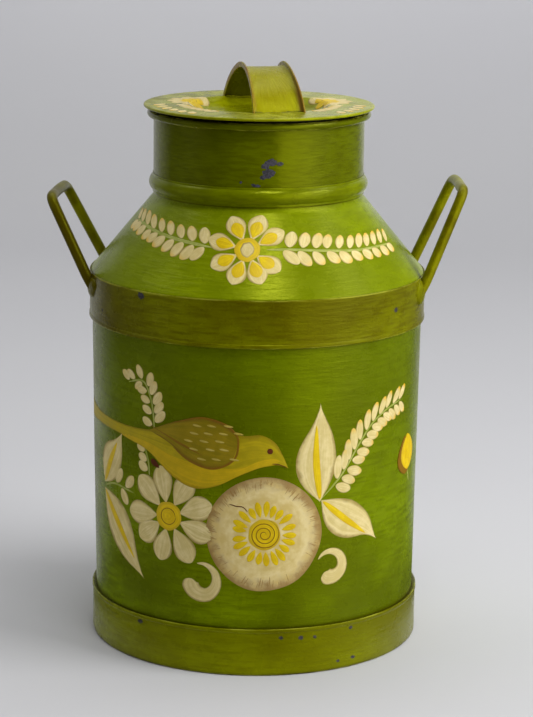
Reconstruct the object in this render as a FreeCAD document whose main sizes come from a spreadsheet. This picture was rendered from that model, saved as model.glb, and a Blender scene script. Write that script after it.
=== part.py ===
"""Painted tinplate milk can with two rod handles and a lift-out lid.

Frame: millimetres, +Z up, origin at the centre of the foot, on the floor. The handles stand on
+X and -X, both set a few degrees towards the back, and the sheet-metal seams run up the back,
on +Y.
"""
import FreeCAD, Part
import math
import os
from types import SimpleNamespace

import Sketcher

# Driving dimensions: millimetres, and degrees for the names that end in _angle.
SIZES = {
    "gauge": 0.6,                   # tinplate of the barrel, shoulder, neck and lid skirt
    "band_gauge": 0.9,              # heavier strip of the foot band and upper hoop
    "fit_gap": 0.05,                # room between two sheets that are soldered together
    "hem_height": 3.2,              # folded edge of the two bands
    "hem_fold": 0.5,                # how far the folded edge stands out
    "barrel_foot_radius": 123.2,    # outside of the barrel at its bottom
    "barrel_head_radius": 126.4,    # outside of the barrel at its top
    "barrel_top": 281.5,
    "seam_proud": 0.9,
    "body_seam_angle": 3.6,         # width of the seams, as an angle round the can
    "neck_seam_angle": 5.0,
    "foot_radius": 126.3,           # foot band's outside, without its hem
    "foot_height": 36.4,
    "foot_flange_radius": 118.0,    # inner edge of the foot band's in-turned flange
    "foot_edge_round": 1.6,
    "pan_height": 10.0,
    "pan_gauge": 0.8,
    "pan_lift": 1.6,                # bottom edge of the pan's flange above the floor
    "fillet_leg": 2.4,              # leg of the solder rings
    "hoop_radius": 128.0,
    "hoop_bottom": 249.2,
    "hoop_top": 284.8,
    "skirt_drop": 12.0,             # overlap of the shoulder's skirt on the barrel
    "shoulder_round": 8.5,
    "cone_angle": 39.5,             # shoulder's slope, measured from the vertical
    "neck_radius": 79.7,            # outside of the neck
    "neck_foot": 344.2,
    "collar_top": 356.0,            # top of the shoulder's collar inside the neck
    "mouth_curl_radius": 2.75,
    "mouth_curl_height": 404.1,     # centre of the curl
    "bead_bottom": 346.5,
    "bead_height": 11.0,
    "bead_proud": 3.3,
    "bead_lip": 1.6,                # flat lip above and below the bead
    "rod_radius": 4.0,
    "foot_spacing_half": 42.0,
    "leg_taper_angle": 7.5,         # how much each leg draws in towards the grip
    "handle_bend": 8.0,
    "handle_turn_angle": 4.7,       # both handles sit this far round towards the back
    "handle_foot_bottom": 264.5,
    "handle_foot_top": 277.0,
    "foot_sink": 1.6,               # how far a handle foot's axis stands out from the hoop
    "right_lean_angle": 23.0,       # handle's lean out from the vertical
    "right_leg_length": 79.0,
    "left_lean_angle": 26.7,
    "left_leg_length": 71.0,
    "lump_half_width": 8.0,         # solder lump at a handle foot
    "lump_half_height": 9.0,
    "lump_half_depth": 3.4,
    "lid_radius": 87.2,             # outside of the lid's curled edge
    "lid_top": 411.0,
    "lid_gauge": 0.6,
    "lid_curl_radius": 1.1,
    "dish_radius": 53.5,            # inner edge of the flat brim
    "dish_floor_radius": 44.0,
    "dish_depth": 7.0,
    "dish_round": 3.0,
    "plug_gap": 0.5,                # room between the lid's plug and the neck
    "plug_bottom": 372.0,
    "plug_taper": 1.0,              # how much the plug narrows to its bottom edge
    "plug_flange_radius": 83.0,
    "stop_radius": 1.5,             # bead on the plug that rests on the mouth
    "stop_offset": 2.6,             # centre of that bead, out from the plug's wall
    "strap_gauge": 0.8,
    "strap_top": 439.0,
    "strap_arc": 61.5,              # outside radius of the strap's arch
    "strap_flange": 3.6,            # turned-up edges of the strap
    "strap_hem": 1.2,
    "strap_arc_angle": 136.0,
    "strap_waist_half": 16.9,
    "strap_foot_half": 20.1,
    "strap_span_half": 58.0,
    "strap_turn_angle": 13.4,       # the lid sits turned this much in the neck
    "strap_shift": 3.2,             # the strap is soldered on a little off centre
}

doc = FreeCAD.newDocument("milk_can")
sheet = doc.addObject("Spreadsheet::Sheet", "Sizes")


class Size:
    """A length that knows both its value and the spreadsheet expression that drives it."""

    def __init__(self, value, text):
        self.value = value
        self.text = text

    def __add__(self, other):
        other = as_size(other)
        return Size(self.value + other.value, f"({self.text} + {other.text})")

    def __sub__(self, other):
        other = as_size(other)
        return Size(self.value - other.value, f"({self.text} - {other.text})")

    def __mul__(self, other):
        other = as_size(other)
        return Size(self.value * other.value, f"({self.text} * {other.text})")

    def __truediv__(self, other):
        other = as_size(other)
        return Size(self.value / other.value, f"({self.text} / {other.text})")

    def __neg__(self):
        return Size(-self.value, f"(-1 * {self.text})")


def as_size(number):
    return number if isinstance(number, Size) else Size(float(number), repr(float(number)))


def sine(angle):
    return Size(math.sin(math.radians(angle.value)), f"sin({angle.text})")


def cosine(angle):
    return Size(math.cos(math.radians(angle.value)), f"cos({angle.text})")


def tangent(angle):
    return Size(math.tan(math.radians(angle.value)), f"tan({angle.text})")


def root(area):
    return Size(math.sqrt(area.value), f"sqrt({area.text})")


def fill_sheet():
    """Write the driving dimensions to the sheet and return them by name."""
    named = {}
    for row, (alias, number) in enumerate(SIZES.items(), start=1):
        sheet.set(f"A{row}", alias.replace("_", " "))
        sheet.set(f"B{row}", str(number))
        sheet.setAlias(f"B{row}", alias)
        named[alias] = Size(number, f"Sizes.{alias}")
    doc.recompute()
    return SimpleNamespace(**named)


s = fill_sheet()
ZERO = as_size(0)
FULL_TURN = as_size(360)


# Sketches ------------------------------------------------------------------------------------

def new_body(label):
    body = doc.addObject("PartDesign::Body", label)
    body.Label = label
    return body


def new_sketch(body, name, plane, shift=(ZERO, ZERO, ZERO), turn=ZERO, turn_axis=(0, 1, 0)):
    """A sketch on one of the body's own origin planes, shifted or turned off it if asked.

    shift and turn_axis are in the plane's own directions: along it, up it and out of it.
    """
    sketch = body.newObject("Sketcher::SketchObject", name)
    support = next(item for item in body.Origin.OriginFeatures if item.Role == plane)
    sketch.AttachmentSupport = [(support, "")]
    sketch.MapMode = "FlatFace"
    sketch.AttachmentOffset = FreeCAD.Placement(
        FreeCAD.Vector(*(size.value for size in shift)),
        FreeCAD.Rotation(FreeCAD.Vector(*turn_axis), turn.value),
    )
    for direction, size in zip("xyz", shift):
        if size is not ZERO:
            sketch.setExpression(f"AttachmentOffset.Base.{direction}", size.text)
    if turn is not ZERO:
        sketch.setExpression("AttachmentOffset.Rotation.Angle", turn.text)
    return sketch


def bind(sketch, constraint, size):
    index = sketch.addConstraint(constraint)
    sketch.setExpression(f"Constraints[{index}]", size.text)


def pin(sketch, curve, end, x, y):
    """Fix one end (1 start, 2 end, 3 centre) of a curve at a place set by the sheet."""
    for kind, axis, size in (("DistanceX", -2, x), ("DistanceY", -1, y)):
        if size is ZERO:
            sketch.addConstraint(Sketcher.Constraint("PointOnObject", curve, end, axis))
        else:
            bind(sketch, Sketcher.Constraint(kind, -1, 1, curve, end, size.value), size)


def arc_between(start, end, radius):
    """The minor arc from start to end; a positive radius turns left, a negative one right."""
    chord = end - start
    middle = (start + end) * 0.5
    sagitta_foot = math.sqrt(max(radius ** 2 - chord.Length ** 2 / 4, 0.0))
    left = FreeCAD.Vector(-chord.y, chord.x, 0).normalize()
    centre = middle + left * math.copysign(sagitta_foot, radius)
    first, last = (start, end) if radius > 0 else (end, start)
    angles = [math.atan2(spot.y - centre.y, spot.x - centre.x) for spot in (first, last)]
    if angles[1] < angles[0]:
        angles[1] += 2 * math.pi
    circle = Part.Circle(centre, FreeCAD.Vector(0, 0, 1), abs(radius))
    return Part.ArcOfCircle(circle, *angles)


def draw_outline(sketch, corners, closed=True):
    """Draw lines and arcs through corners.

    Each corner is (x, y), or (x, y, radius) when an arc leaves it. The sign of the radius is the
    way the arc turns.
    """
    spots = [FreeCAD.Vector(corner[0].value, corner[1].value, 0) for corner in corners]
    count = len(corners) if closed else len(corners) - 1
    ends = []
    for i in range(count):
        start = spots[i]
        end = spots[(i + 1) % len(spots)]
        if len(corners[i]) == 3:
            radius = corners[i][2]
            curve = sketch.addGeometry(arc_between(start, end, radius.value), False)
            size = radius if radius.value > 0 else -radius
            bind(sketch, Sketcher.Constraint("Radius", curve, size.value), size)
            ends.append((curve, 1, 2) if radius.value > 0 else (curve, 2, 1))
        else:
            curve = sketch.addGeometry(Part.LineSegment(start, end), False)
            ends.append((curve, 1, 2))
    for i in range(count):
        curve, begin, finish = ends[i]
        pin(sketch, curve, begin, corners[i][0], corners[i][1])
        if closed or i + 1 < count:
            follower = ends[(i + 1) % count]
            sketch.addConstraint(
                Sketcher.Constraint("Coincident", curve, finish, follower[0], follower[1]))
        else:
            pin(sketch, curve, finish, corners[-1][0], corners[-1][1])


def draw_circle(sketch, x, y, radius):
    centre = FreeCAD.Vector(x.value, y.value, 0)
    circle = Part.Circle(centre, FreeCAD.Vector(0, 0, 1), radius.value)
    curve = sketch.addGeometry(circle, False)
    pin(sketch, curve, 3, x, y)
    bind(sketch, Sketcher.Constraint("Radius", curve, radius.value), radius)


# Features ------------------------------------------------------------------------------------

def spin(body, sketch, name, kind="Revolution", angle=FULL_TURN, axis="V_Axis"):
    """Turn a sketch about one of its own axes, centred on the sketch's plane."""
    feature = body.newObject(f"PartDesign::{kind}", name)
    feature.Profile = sketch
    feature.ReferenceAxis = (sketch, [axis])
    feature.Midplane = angle is not FULL_TURN
    feature.Angle = angle.value
    feature.setExpression("Angle", angle.text)
    return feature


def ring(body, name, corners, kind="Revolution"):
    """Add, or with Groove take away, a full ring whose section is given as radius and height."""
    sketch = new_sketch(body, f"{name}_section", "XZ_Plane")
    draw_outline(sketch, corners)
    return spin(body, sketch, name, kind)


def round_ring(body, name, radius, height, thickness, hollow=None):
    """Add a ring of round section, or of tubular section if hollow is its inner radius."""
    sketch = new_sketch(body, f"{name}_section", "XZ_Plane")
    draw_circle(sketch, radius, height, thickness)
    if hollow is not None:
        draw_circle(sketch, radius, height, hollow)
    return spin(body, sketch, name)


def slab(body, sketch, name, length, both_ways=False):
    feature = body.newObject("PartDesign::Pad", name)
    feature.Profile = sketch
    feature.Length = length.value
    feature.setExpression("Length", length.text)
    feature.SideType = "Symmetric" if both_ways else "One side"
    return feature


def cut_down(body, sketch, name):
    """Cut everything below a level sketch."""
    feature = body.newObject("PartDesign::Pocket", name)
    feature.Profile = sketch
    feature.Type = "ThroughAll"
    return feature


def rear_seam(body, name, corners, angle):
    """Add a short stretch of ring, centred on the back of the can."""
    sketch = new_sketch(body, f"{name}_section", "XZ_Plane", turn=as_size(90))
    draw_outline(sketch, corners)
    return spin(body, sketch, name, angle=angle)


def box_corners(inner, outer, bottom, top):
    return [(inner, bottom), (outer, bottom), (outer, top), (inner, top)]


def round_edge(body, name, radius, height, size):
    """Round the one circular edge of the body's tip that has this radius and height."""
    doc.recompute()
    base = body.Tip
    names = []
    for number, edge in enumerate(base.Shape.Edges, start=1):
        curve = edge.Curve
        if not isinstance(curve, Part.Circle):
            continue
        if abs(curve.Radius - radius.value) < 0.01 and abs(curve.Center.z - height.value) < 0.01:
            names.append(f"Edge{number}")
    if not names:
        raise ValueError(f"{name}: no edge of radius {radius.value} at height {height.value}")
    fillet = body.newObject("PartDesign::Fillet", name)
    fillet.Base = (base, names)
    fillet.Radius = size.value
    fillet.setExpression("Radius", size.text)


def turn_round(body, angle, way=1):
    """Turn a whole piece about the can's axis; way is +1 or -1."""
    body.Placement = FreeCAD.Placement(
        FreeCAD.Vector(0, 0, 0), FreeCAD.Rotation(FreeCAD.Vector(0, 0, way), angle.value))
    body.setExpression("Placement.Rotation.Angle", angle.text)


def cut_away(label, base, tool):
    feature = doc.addObject("Part::Cut", label)
    feature.Label = label
    feature.Base = base
    feature.Tool = tool
    return feature


# Heights and radii that several pieces share ----------------------------------------------------

barrel_bottom = s.band_gauge + s.fit_gap
barrel_inside_foot = s.barrel_foot_radius - s.gauge
skirt_inside = s.barrel_head_radius + s.fit_gap
skirt_outside = skirt_inside + s.gauge
neck_inside = s.neck_radius - s.gauge
collar_outside = neck_inside - s.fit_gap
collar_foot = s.hoop_top + (skirt_outside - collar_outside) / tangent(s.cone_angle)
lid_under = s.lid_top - s.lid_gauge
plug_outside = neck_inside - s.plug_gap
dish_bottom = s.lid_top - s.dish_depth


def barrel_radius(height):
    """Outside of the tapered barrel at a height."""
    rise = (height - barrel_bottom) / (s.barrel_top - barrel_bottom)
    return s.barrel_foot_radius + (s.barrel_head_radius - s.barrel_foot_radius) * rise


# Barrel and bottom ---------------------------------------------------------------------------

def make_body_shell():
    body = new_body("body_shell")
    ring(body, "barrel_wall", [
        (s.barrel_foot_radius - s.gauge, barrel_bottom),
        (s.barrel_foot_radius, barrel_bottom),
        (s.barrel_head_radius, s.barrel_top),
        (s.barrel_head_radius - s.gauge, s.barrel_top),
    ])
    low = s.foot_height + s.hem_fold
    high = s.hoop_bottom - s.hem_fold
    rear_seam(body, "lock_seam", [
        (barrel_radius(low) - s.gauge / 2, low),
        (barrel_radius(low) + s.seam_proud, low),
        (barrel_radius(high) + s.seam_proud, high),
        (barrel_radius(high) - s.gauge / 2, high),
    ], s.body_seam_angle)
    return body


def make_bottom_pan():
    body = new_body("bottom_pan")
    outside = barrel_inside_foot - s.fit_gap
    ring(body, "pan_and_flange", [
        (ZERO, s.pan_height - s.pan_gauge),
        (outside - s.pan_gauge, s.pan_height - s.pan_gauge),
        (outside - s.pan_gauge, s.pan_lift),
        (outside, s.pan_lift),
        (outside, s.pan_height),
        (ZERO, s.pan_height),
    ])
    return body


def make_bottom_solder():
    body = new_body("bottom_solder")
    low = s.pan_height + s.fit_gap
    high = low + s.fillet_leg
    outside = barrel_inside_foot - s.fit_gap
    ring(body, "fillet_ring", [
        (outside - s.fillet_leg, low),
        (outside, low),
        (outside, high),
    ])
    return body


def make_foot_band():
    body = new_body("foot_band")
    inside = s.foot_radius - s.band_gauge
    hem_start = s.foot_height - s.hem_height
    ring(body, "band_and_flange", [
        (s.foot_flange_radius, ZERO),
        (s.foot_radius, ZERO),
        (s.foot_radius, hem_start),
        (s.foot_radius + s.hem_fold, hem_start + s.hem_fold),
        (s.foot_radius + s.hem_fold, s.foot_height),
        (inside + s.hem_fold, s.foot_height),
        (inside, hem_start),
        (inside, s.band_gauge),
        (s.foot_flange_radius, s.band_gauge),
    ])
    round_edge(body, "foot_corner", s.foot_radius, ZERO, s.foot_edge_round)
    return body


# Shoulder and hoop ---------------------------------------------------------------------------

def make_upper_hoop():
    body = new_body("upper_hoop")
    inside = skirt_outside + s.fit_gap
    hem_end = s.hoop_bottom + s.hem_height
    ring(body, "hoop_band", [
        (inside, s.hoop_bottom),
        (s.hoop_radius + s.hem_fold, s.hoop_bottom),
        (s.hoop_radius + s.hem_fold, hem_end - s.hem_fold),
        (s.hoop_radius, hem_end),
        (s.hoop_radius, s.hoop_top),
        (inside, s.hoop_top),
    ])
    round_edge(body, "hem_roll", s.hoop_radius + s.hem_fold, s.hoop_bottom, s.hem_fold)
    return body


def make_shoulder():
    body = new_body("shoulder")
    skirt_bottom = s.hoop_top - s.skirt_drop
    slant = s.gauge / cosine(s.cone_angle)
    ring(body, "skirt_cone_collar", [
        (skirt_inside, skirt_bottom),
        (skirt_outside, skirt_bottom),
        (skirt_outside, s.hoop_top),
        (collar_outside, collar_foot),
        (collar_outside, s.collar_top),
        (collar_outside - s.gauge, s.collar_top),
        (collar_outside - s.gauge, collar_foot - (slant - s.gauge) / tangent(s.cone_angle)),
        (skirt_inside, s.hoop_top - (slant - s.gauge) / tangent(s.cone_angle)),
    ])
    round_edge(body, "outer_turn", skirt_outside, s.hoop_top, s.shoulder_round)
    inner_turn_height = s.hoop_top - (slant - s.gauge) / tangent(s.cone_angle)
    round_edge(body, "inner_turn", skirt_inside, inner_turn_height, s.shoulder_round - s.gauge)
    return body


# Neck ----------------------------------------------------------------------------------------

def make_neck_tube():
    body = new_body("neck_tube")
    ring(body, "neck_wall",
         box_corners(neck_inside, s.neck_radius, s.neck_foot, s.mouth_curl_height))
    round_ring(body, "mouth_curl", neck_inside + s.mouth_curl_radius, s.mouth_curl_height,
               s.mouth_curl_radius, hollow=s.mouth_curl_radius - s.gauge)
    seam_top = s.mouth_curl_height - s.mouth_curl_radius
    rear_seam(body, "lap_seam", box_corners(
        s.neck_radius - s.gauge / 2, s.neck_radius + s.gauge,
        s.bead_bottom + s.bead_height + s.bead_lip, seam_top), s.neck_seam_angle)
    return body


def make_mouth_wire():
    body = new_body("mouth_wire")
    round_ring(body, "wire_ring", neck_inside + s.mouth_curl_radius, s.mouth_curl_height,
               s.mouth_curl_radius - s.gauge - s.fit_gap)
    return body


def make_neck_collar():
    """A strip swaged to a half-round bead, with a flat lip on each side of it."""
    body = new_body("neck_collar")
    inner = s.neck_radius + s.fit_gap
    outer = inner + s.gauge
    low = s.bead_bottom
    high = low + s.bead_height
    half = s.bead_height / 2
    bulge = s.bead_proud - s.gauge
    outer_arc = (half * half + bulge * bulge) / (bulge * 2)
    inner_half = half - s.gauge
    inner_arc = (inner_half * inner_half + bulge * bulge) / (bulge * 2)
    ring(body, "bead", [
        (inner, low - s.bead_lip),
        (outer, low - s.bead_lip),
        (outer, low, outer_arc),
        (outer, high),
        (outer, high + s.bead_lip),
        (inner, high + s.bead_lip),
        (inner, high - s.gauge, -inner_arc),
        (inner, low + s.gauge),
    ])
    return body


def make_neck_solder():
    body = new_body("neck_solder")
    inside = collar_outside - s.gauge
    low = s.collar_top + s.fit_gap
    ring(body, "fillet_ring", [
        (inside, low),
        (collar_outside, low),
        (collar_outside, low + s.fillet_leg / 2),
    ])
    return body


# Side handles --------------------------------------------------------------------------------

handle_foot_axis = s.hoop_radius + s.foot_sink
handle_foot_x = root(
    handle_foot_axis * handle_foot_axis - s.foot_spacing_half * s.foot_spacing_half)


def make_handle(label, side, lean, leg_length):
    """A round rod bent to a three-sided loop, its feet turned down flat against the hoop.

    side is +1 for the handle on +X and -1 for the one on -X.
    """
    body = new_body(label)
    turn_round(body, s.handle_turn_angle, way=side)
    half = s.foot_spacing_half
    bend = s.handle_bend
    foot_x = handle_foot_x * side

    feet = new_sketch(body, "feet_section", "XY_Plane", shift=(ZERO, ZERO, s.handle_foot_bottom))
    draw_circle(feet, foot_x, half, s.rod_radius)
    draw_circle(feet, foot_x, -half, s.rod_radius)
    slab(body, feet, "feet", s.handle_foot_top - s.handle_foot_bottom)

    # The loop lies in a plane that leans out about the line through the tops of the feet.
    path = new_sketch(body, "loop_path", "YZ_Plane", shift=(ZERO, s.handle_foot_top, foot_x),
                      turn=lean * side, turn_axis=(1, 0, 0))
    grip_half = half - leg_length * tangent(s.leg_taper_angle)
    set_back = bend * tangent((as_size(90) - s.leg_taper_angle) / 2)
    bend_half = grip_half + set_back * sine(s.leg_taper_angle)
    bend_start = leg_length - set_back * cosine(s.leg_taper_angle)
    draw_outline(path, [
        (-half, ZERO),
        (-bend_half, bend_start, -bend),
        (set_back - grip_half, leg_length),
        (grip_half - set_back, leg_length, -bend),
        (bend_half, bend_start),
        (half, ZERO),
    ], closed=False)
    section = new_sketch(body, "rod_section", "XY_Plane", shift=(foot_x, -half, s.handle_foot_top),
                         turn=lean * side)
    draw_circle(section, ZERO, ZERO, s.rod_radius)
    doc.recompute()
    loop = body.newObject("PartDesign::AdditivePipe", "loop")
    loop.Profile = section
    loop.Spine = path

    # The feet are filed to seat on the hoop.
    ring(body, "seat", box_corners(
        s.hoop_radius - s.rod_radius * 2, s.hoop_radius + s.fit_gap,
        s.handle_foot_bottom - s.rod_radius, s.handle_foot_top + s.rod_radius * 2), kind="Groove")
    return body


def make_handle_solder(handles):
    """Four lumps of solder, one round each handle foot, lying on the hoop."""
    barrel = doc.addObject("Part::Cylinder", "space_inside_hoop")
    barrel.setExpression("Radius", (s.hoop_radius + s.fit_gap).text)
    barrel.setExpression("Height", (s.hoop_top + s.skirt_drop).text)
    foot_azimuth = math.degrees(math.atan2(s.foot_spacing_half.value, handle_foot_x.value))
    left_azimuth = 180 - s.handle_turn_angle.value
    right_azimuth = s.handle_turn_angle.value
    middle = (s.handle_foot_bottom + s.handle_foot_top) / 2
    lumps = []
    for handle, azimuth in ((handles[0], left_azimuth - foot_azimuth),
                            (handles[0], left_azimuth + foot_azimuth),
                            (handles[1], right_azimuth + foot_azimuth),
                            (handles[1], right_azimuth - foot_azimuth)):
        lump = doc.addObject("Part::Ellipsoid", "lump")
        for name, size in (("Radius1", s.lump_half_height), ("Radius2", s.lump_half_depth),
                           ("Radius3", s.lump_half_width)):
            lump.setExpression(name, size.text)
        face_out = FreeCAD.Rotation(FreeCAD.Vector(0, 0, 1), azimuth)
        reach = FreeCAD.Vector(s.hoop_radius.value, 0, 0)
        lump.Placement = FreeCAD.Placement(face_out.multVec(reach), face_out)
        lump.setExpression("Placement.Base.z", middle.text)
        on_hoop = cut_away("lump_on_hoop", lump, barrel)
        lumps.append(cut_away("lump_round_foot", on_hoop, handle))
    group = doc.addObject("Part::MultiFuse", "handle_solder")
    group.Label = "handle_solder"
    group.Shapes = lumps
    return group


# Lid -----------------------------------------------------------------------------------------

lid_curl_centre = s.lid_radius - s.lid_curl_radius
lid_curl_height = s.lid_top - s.lid_curl_radius


def make_lid_pan():
    """Flat brim, sloping dish and level floor pressed from one sheet, its edge curled."""
    body = new_body("lid_pan")
    ring(body, "brim_and_dish", [
        (ZERO, dish_bottom - s.lid_gauge),
        (s.dish_floor_radius, dish_bottom - s.lid_gauge),
        (s.dish_radius, lid_under),
        (lid_curl_centre, lid_under),
        (lid_curl_centre, s.lid_top),
        (s.dish_radius, s.lid_top),
        (s.dish_floor_radius, dish_bottom),
        (ZERO, dish_bottom),
    ])
    tight = s.dish_round - s.lid_gauge
    round_edge(body, "brim_turn_over", s.dish_radius, s.lid_top, s.dish_round)
    round_edge(body, "brim_turn_under", s.dish_radius, lid_under, tight)
    round_edge(body, "floor_turn_over", s.dish_floor_radius, dish_bottom, tight)
    round_edge(body, "floor_turn_under", s.dish_floor_radius, dish_bottom - s.lid_gauge,
               s.dish_round)
    round_ring(body, "edge_curl", lid_curl_centre, lid_curl_height, s.lid_curl_radius,
               hollow=s.lid_curl_radius - s.lid_gauge)
    return body


def make_lid_edge_wire():
    body = new_body("lid_edge_wire")
    round_ring(body, "wire_ring", lid_curl_centre, lid_curl_height,
               s.lid_curl_radius - s.lid_gauge - s.fit_gap)
    return body


def make_lid_skirt():
    """The plug: a wall that narrows to its bottom, a flange under the brim and a stop bead."""
    body = new_body("lid_skirt")
    flange_top = lid_under - s.fit_gap
    flange_bottom = flange_top - s.gauge
    narrow = plug_outside - s.plug_taper
    ring(body, "wall_and_flange", [
        (narrow - s.gauge, s.plug_bottom),
        (narrow, s.plug_bottom),
        (plug_outside, flange_bottom),
        (s.plug_flange_radius, flange_bottom),
        (s.plug_flange_radius, flange_top),
        (plug_outside - s.gauge, flange_top),
    ])
    mouth_top = s.mouth_curl_height + s.mouth_curl_radius
    round_ring(body, "stop_bead", plug_outside + s.stop_offset,
               mouth_top + s.fit_gap + s.stop_radius, s.stop_radius)
    return body


def waist_sides(half_waist, half_foot):
    """Radius of the hollow side edges of the strap, seen from above."""
    span = s.strap_span_half
    dip = half_foot - half_waist
    return (span * span + dip * dip) / (dip * 2)


def seat_in_dish(body, name):
    """Cut away everything of a body that lies under the lid's upper surface."""
    clear = s.fit_gap
    low = dish_bottom - s.strap_arc
    ring(body, name, [
        (ZERO, dish_bottom + clear),
        (s.dish_floor_radius, dish_bottom + clear),
        (s.dish_radius, s.lid_top + clear),
        (s.lid_radius, s.lid_top + clear),
        (s.lid_radius, low),
        (ZERO, low),
    ], kind="Groove")


def arch(body, name, inner, outer):
    """A band bent round the strap's arch, wider than the strap, between two arc radii."""
    half = s.strap_foot_half + s.strap_flange
    sketch = new_sketch(body, f"{name}_section", "XZ_Plane",
                        shift=(ZERO, s.strap_top - s.strap_arc, ZERO))
    draw_outline(sketch, box_corners(s.strap_shift - half, s.strap_shift + half, inner, outer))
    spin(body, sketch, name, angle=s.strap_arc_angle, axis="H_Axis")


def make_lid_strap():
    """An arched strip, narrower at its crown, with both long edges turned up."""
    body = new_body("lid_strap")
    turn_round(body, s.strap_turn_angle)
    above = (ZERO, ZERO, s.strap_top + s.strap_flange * 2)
    middle = s.strap_shift
    span = s.strap_span_half

    arch(body, "edges", s.strap_arc - s.strap_gauge, s.strap_arc + s.strap_flange)
    between = new_sketch(body, "between_edges", "XY_Plane", shift=above)
    half_foot = s.strap_foot_half - s.strap_hem
    side = waist_sides(s.strap_waist_half - s.strap_hem, half_foot)
    draw_outline(between, [
        (middle - half_foot, -span),
        (middle + half_foot, -span, -side),
        (middle + half_foot, span),
        (middle - half_foot, span, -side),
    ])
    cut_down(body, between, "trough")

    arch(body, "web", s.strap_arc - s.strap_gauge, s.strap_arc)
    side = waist_sides(s.strap_waist_half, s.strap_foot_half)
    outside = s.strap_foot_half * 2
    for name, way in (("left_waist", -1), ("right_waist", 1)):
        beside = new_sketch(body, f"{name}_outline", "XY_Plane", shift=above)
        foot = middle + s.strap_foot_half * way
        draw_outline(beside, [
            (foot, span * way, side),
            (foot, -span * way),
            (middle + outside * way, -span * way),
            (middle + outside * way, span * way),
        ])
        cut_down(body, beside, name)
    seat_in_dish(body, "seat")
    return body


def make_strap_solder(strap):
    """A run of solder across each foot of the strap, inside and outside it."""
    body = new_body("solder_runs")
    turn_round(body, s.strap_turn_angle)
    centre = s.strap_top - s.strap_arc
    height = s.lid_top - s.strap_gauge
    rise = height - centre
    reach = root(s.strap_arc * s.strap_arc - rise * rise)
    section = new_sketch(body, "run_sections", "YZ_Plane", shift=(ZERO, ZERO, s.strap_shift))
    draw_circle(section, reach, height, s.fillet_leg)
    draw_circle(section, -reach, height, s.fillet_leg)
    slab(body, section, "runs", s.strap_waist_half * 2, both_ways=True)
    seat_in_dish(body, "seat")
    return cut_away("strap_solder", body, strap)


# The whole can -------------------------------------------------------------------------------

def volume_falls(body):
    """Every cut in a body has to take something away."""
    before = None
    for feature in body.Group:
        if not feature.isDerivedFrom("PartDesign::Feature"):
            continue
        cuts = feature.TypeId in ("PartDesign::Groove", "PartDesign::Pocket")
        if cuts and feature.Shape.Volume > before - 1.0:
            raise ValueError(f"{body.Label}: {feature.Label} cuts nothing")
        before = feature.Shape.Volume


def build():
    handles = [
        make_handle("left_handle", -1, s.left_lean_angle, s.left_leg_length),
        make_handle("right_handle", 1, s.right_lean_angle, s.right_leg_length),
    ]
    strap = make_lid_strap()
    return [
        make_body_shell(),
        make_bottom_pan(),
        make_bottom_solder(),
        make_foot_band(),
        make_upper_hoop(),
        make_shoulder(),
        make_neck_tube(),
        make_mouth_wire(),
        make_neck_collar(),
        make_neck_solder(),
        *handles,
        make_handle_solder(handles),
        make_lid_pan(),
        make_lid_edge_wire(),
        make_lid_skirt(),
        strap,
        make_strap_solder(strap),
    ]


def check(pieces):
    for item in doc.Objects:
        if "Invalid" in item.State or "Error" in item.State:
            raise ValueError(f"{item.Label} failed: {item.State}")
        if item.TypeId == "PartDesign::Body":
            volume_falls(item)
    for piece in pieces:
        if piece.Shape.isNull() or not piece.Shape.isValid():
            raise ValueError(f"{piece.Label} has no valid shape")


pieces = build()
doc.recompute()
check(pieces)
os.makedirs("parts", exist_ok=True)
for piece in pieces:
    piece.Shape.exportStep(f"parts/{piece.Label}.step")
    print(f"{piece.Label}: {len(piece.Shape.Solids)} solid, {piece.Shape.Volume:.0f} mm3")
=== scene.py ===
"""Painted milk can: the sheet metal, its paint and its decoration, built round the CAD frame.

Lengths are millimetres in the CAD's own frame (+Z up, painted front towards -Y) until a mesh is
made, when they become metres. Node materials work in metres throughout.
"""

import random
from math import acos, asin, atan2, cos, degrees, hypot, log, pi, radians, sin, sqrt, tan

import bmesh
import bpy
import numpy as np
from mathutils import Matrix, Vector


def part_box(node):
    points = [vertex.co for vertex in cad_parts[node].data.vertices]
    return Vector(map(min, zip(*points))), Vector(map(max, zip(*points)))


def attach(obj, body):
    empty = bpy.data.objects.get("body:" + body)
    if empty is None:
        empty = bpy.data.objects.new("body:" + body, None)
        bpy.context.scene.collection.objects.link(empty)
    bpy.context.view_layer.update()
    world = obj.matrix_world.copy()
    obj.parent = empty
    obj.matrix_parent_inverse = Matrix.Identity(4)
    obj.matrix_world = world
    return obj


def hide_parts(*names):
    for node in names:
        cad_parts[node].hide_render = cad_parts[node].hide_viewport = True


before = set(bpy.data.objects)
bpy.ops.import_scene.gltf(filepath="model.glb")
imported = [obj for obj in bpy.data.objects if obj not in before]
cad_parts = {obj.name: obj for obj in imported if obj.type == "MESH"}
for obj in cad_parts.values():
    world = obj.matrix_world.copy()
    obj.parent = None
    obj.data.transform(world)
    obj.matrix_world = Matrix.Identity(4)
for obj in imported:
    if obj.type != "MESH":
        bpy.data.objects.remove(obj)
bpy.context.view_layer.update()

MM = 0.001
FRONT = -pi / 2               # azimuth of the painted front
BACK = pi / 2                 # azimuth of the sheet seams


def reach(node):
    """Lowest and highest corner of a CAD node, in millimetres."""
    low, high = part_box(node)
    return low / MM, high / MM


# Sizes read off the frame

BARREL_LOW, BARREL_HIGH = reach("body_shell")
_, FOOT_HIGH = reach("foot_band")
HOOP_LOW, HOOP_HIGH = reach("upper_hoop")
SHOULDER_LOW, SHOULDER_HIGH = reach("shoulder")
NECK_LOW, NECK_HIGH = reach("neck_tube")
COLLAR_LOW, COLLAR_HIGH = reach("neck_collar")
_, LID_HIGH = reach("lid_pan")
SKIRT_LOW, _ = reach("lid_skirt")
_, STRAP_HIGH = reach("lid_strap")

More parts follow.
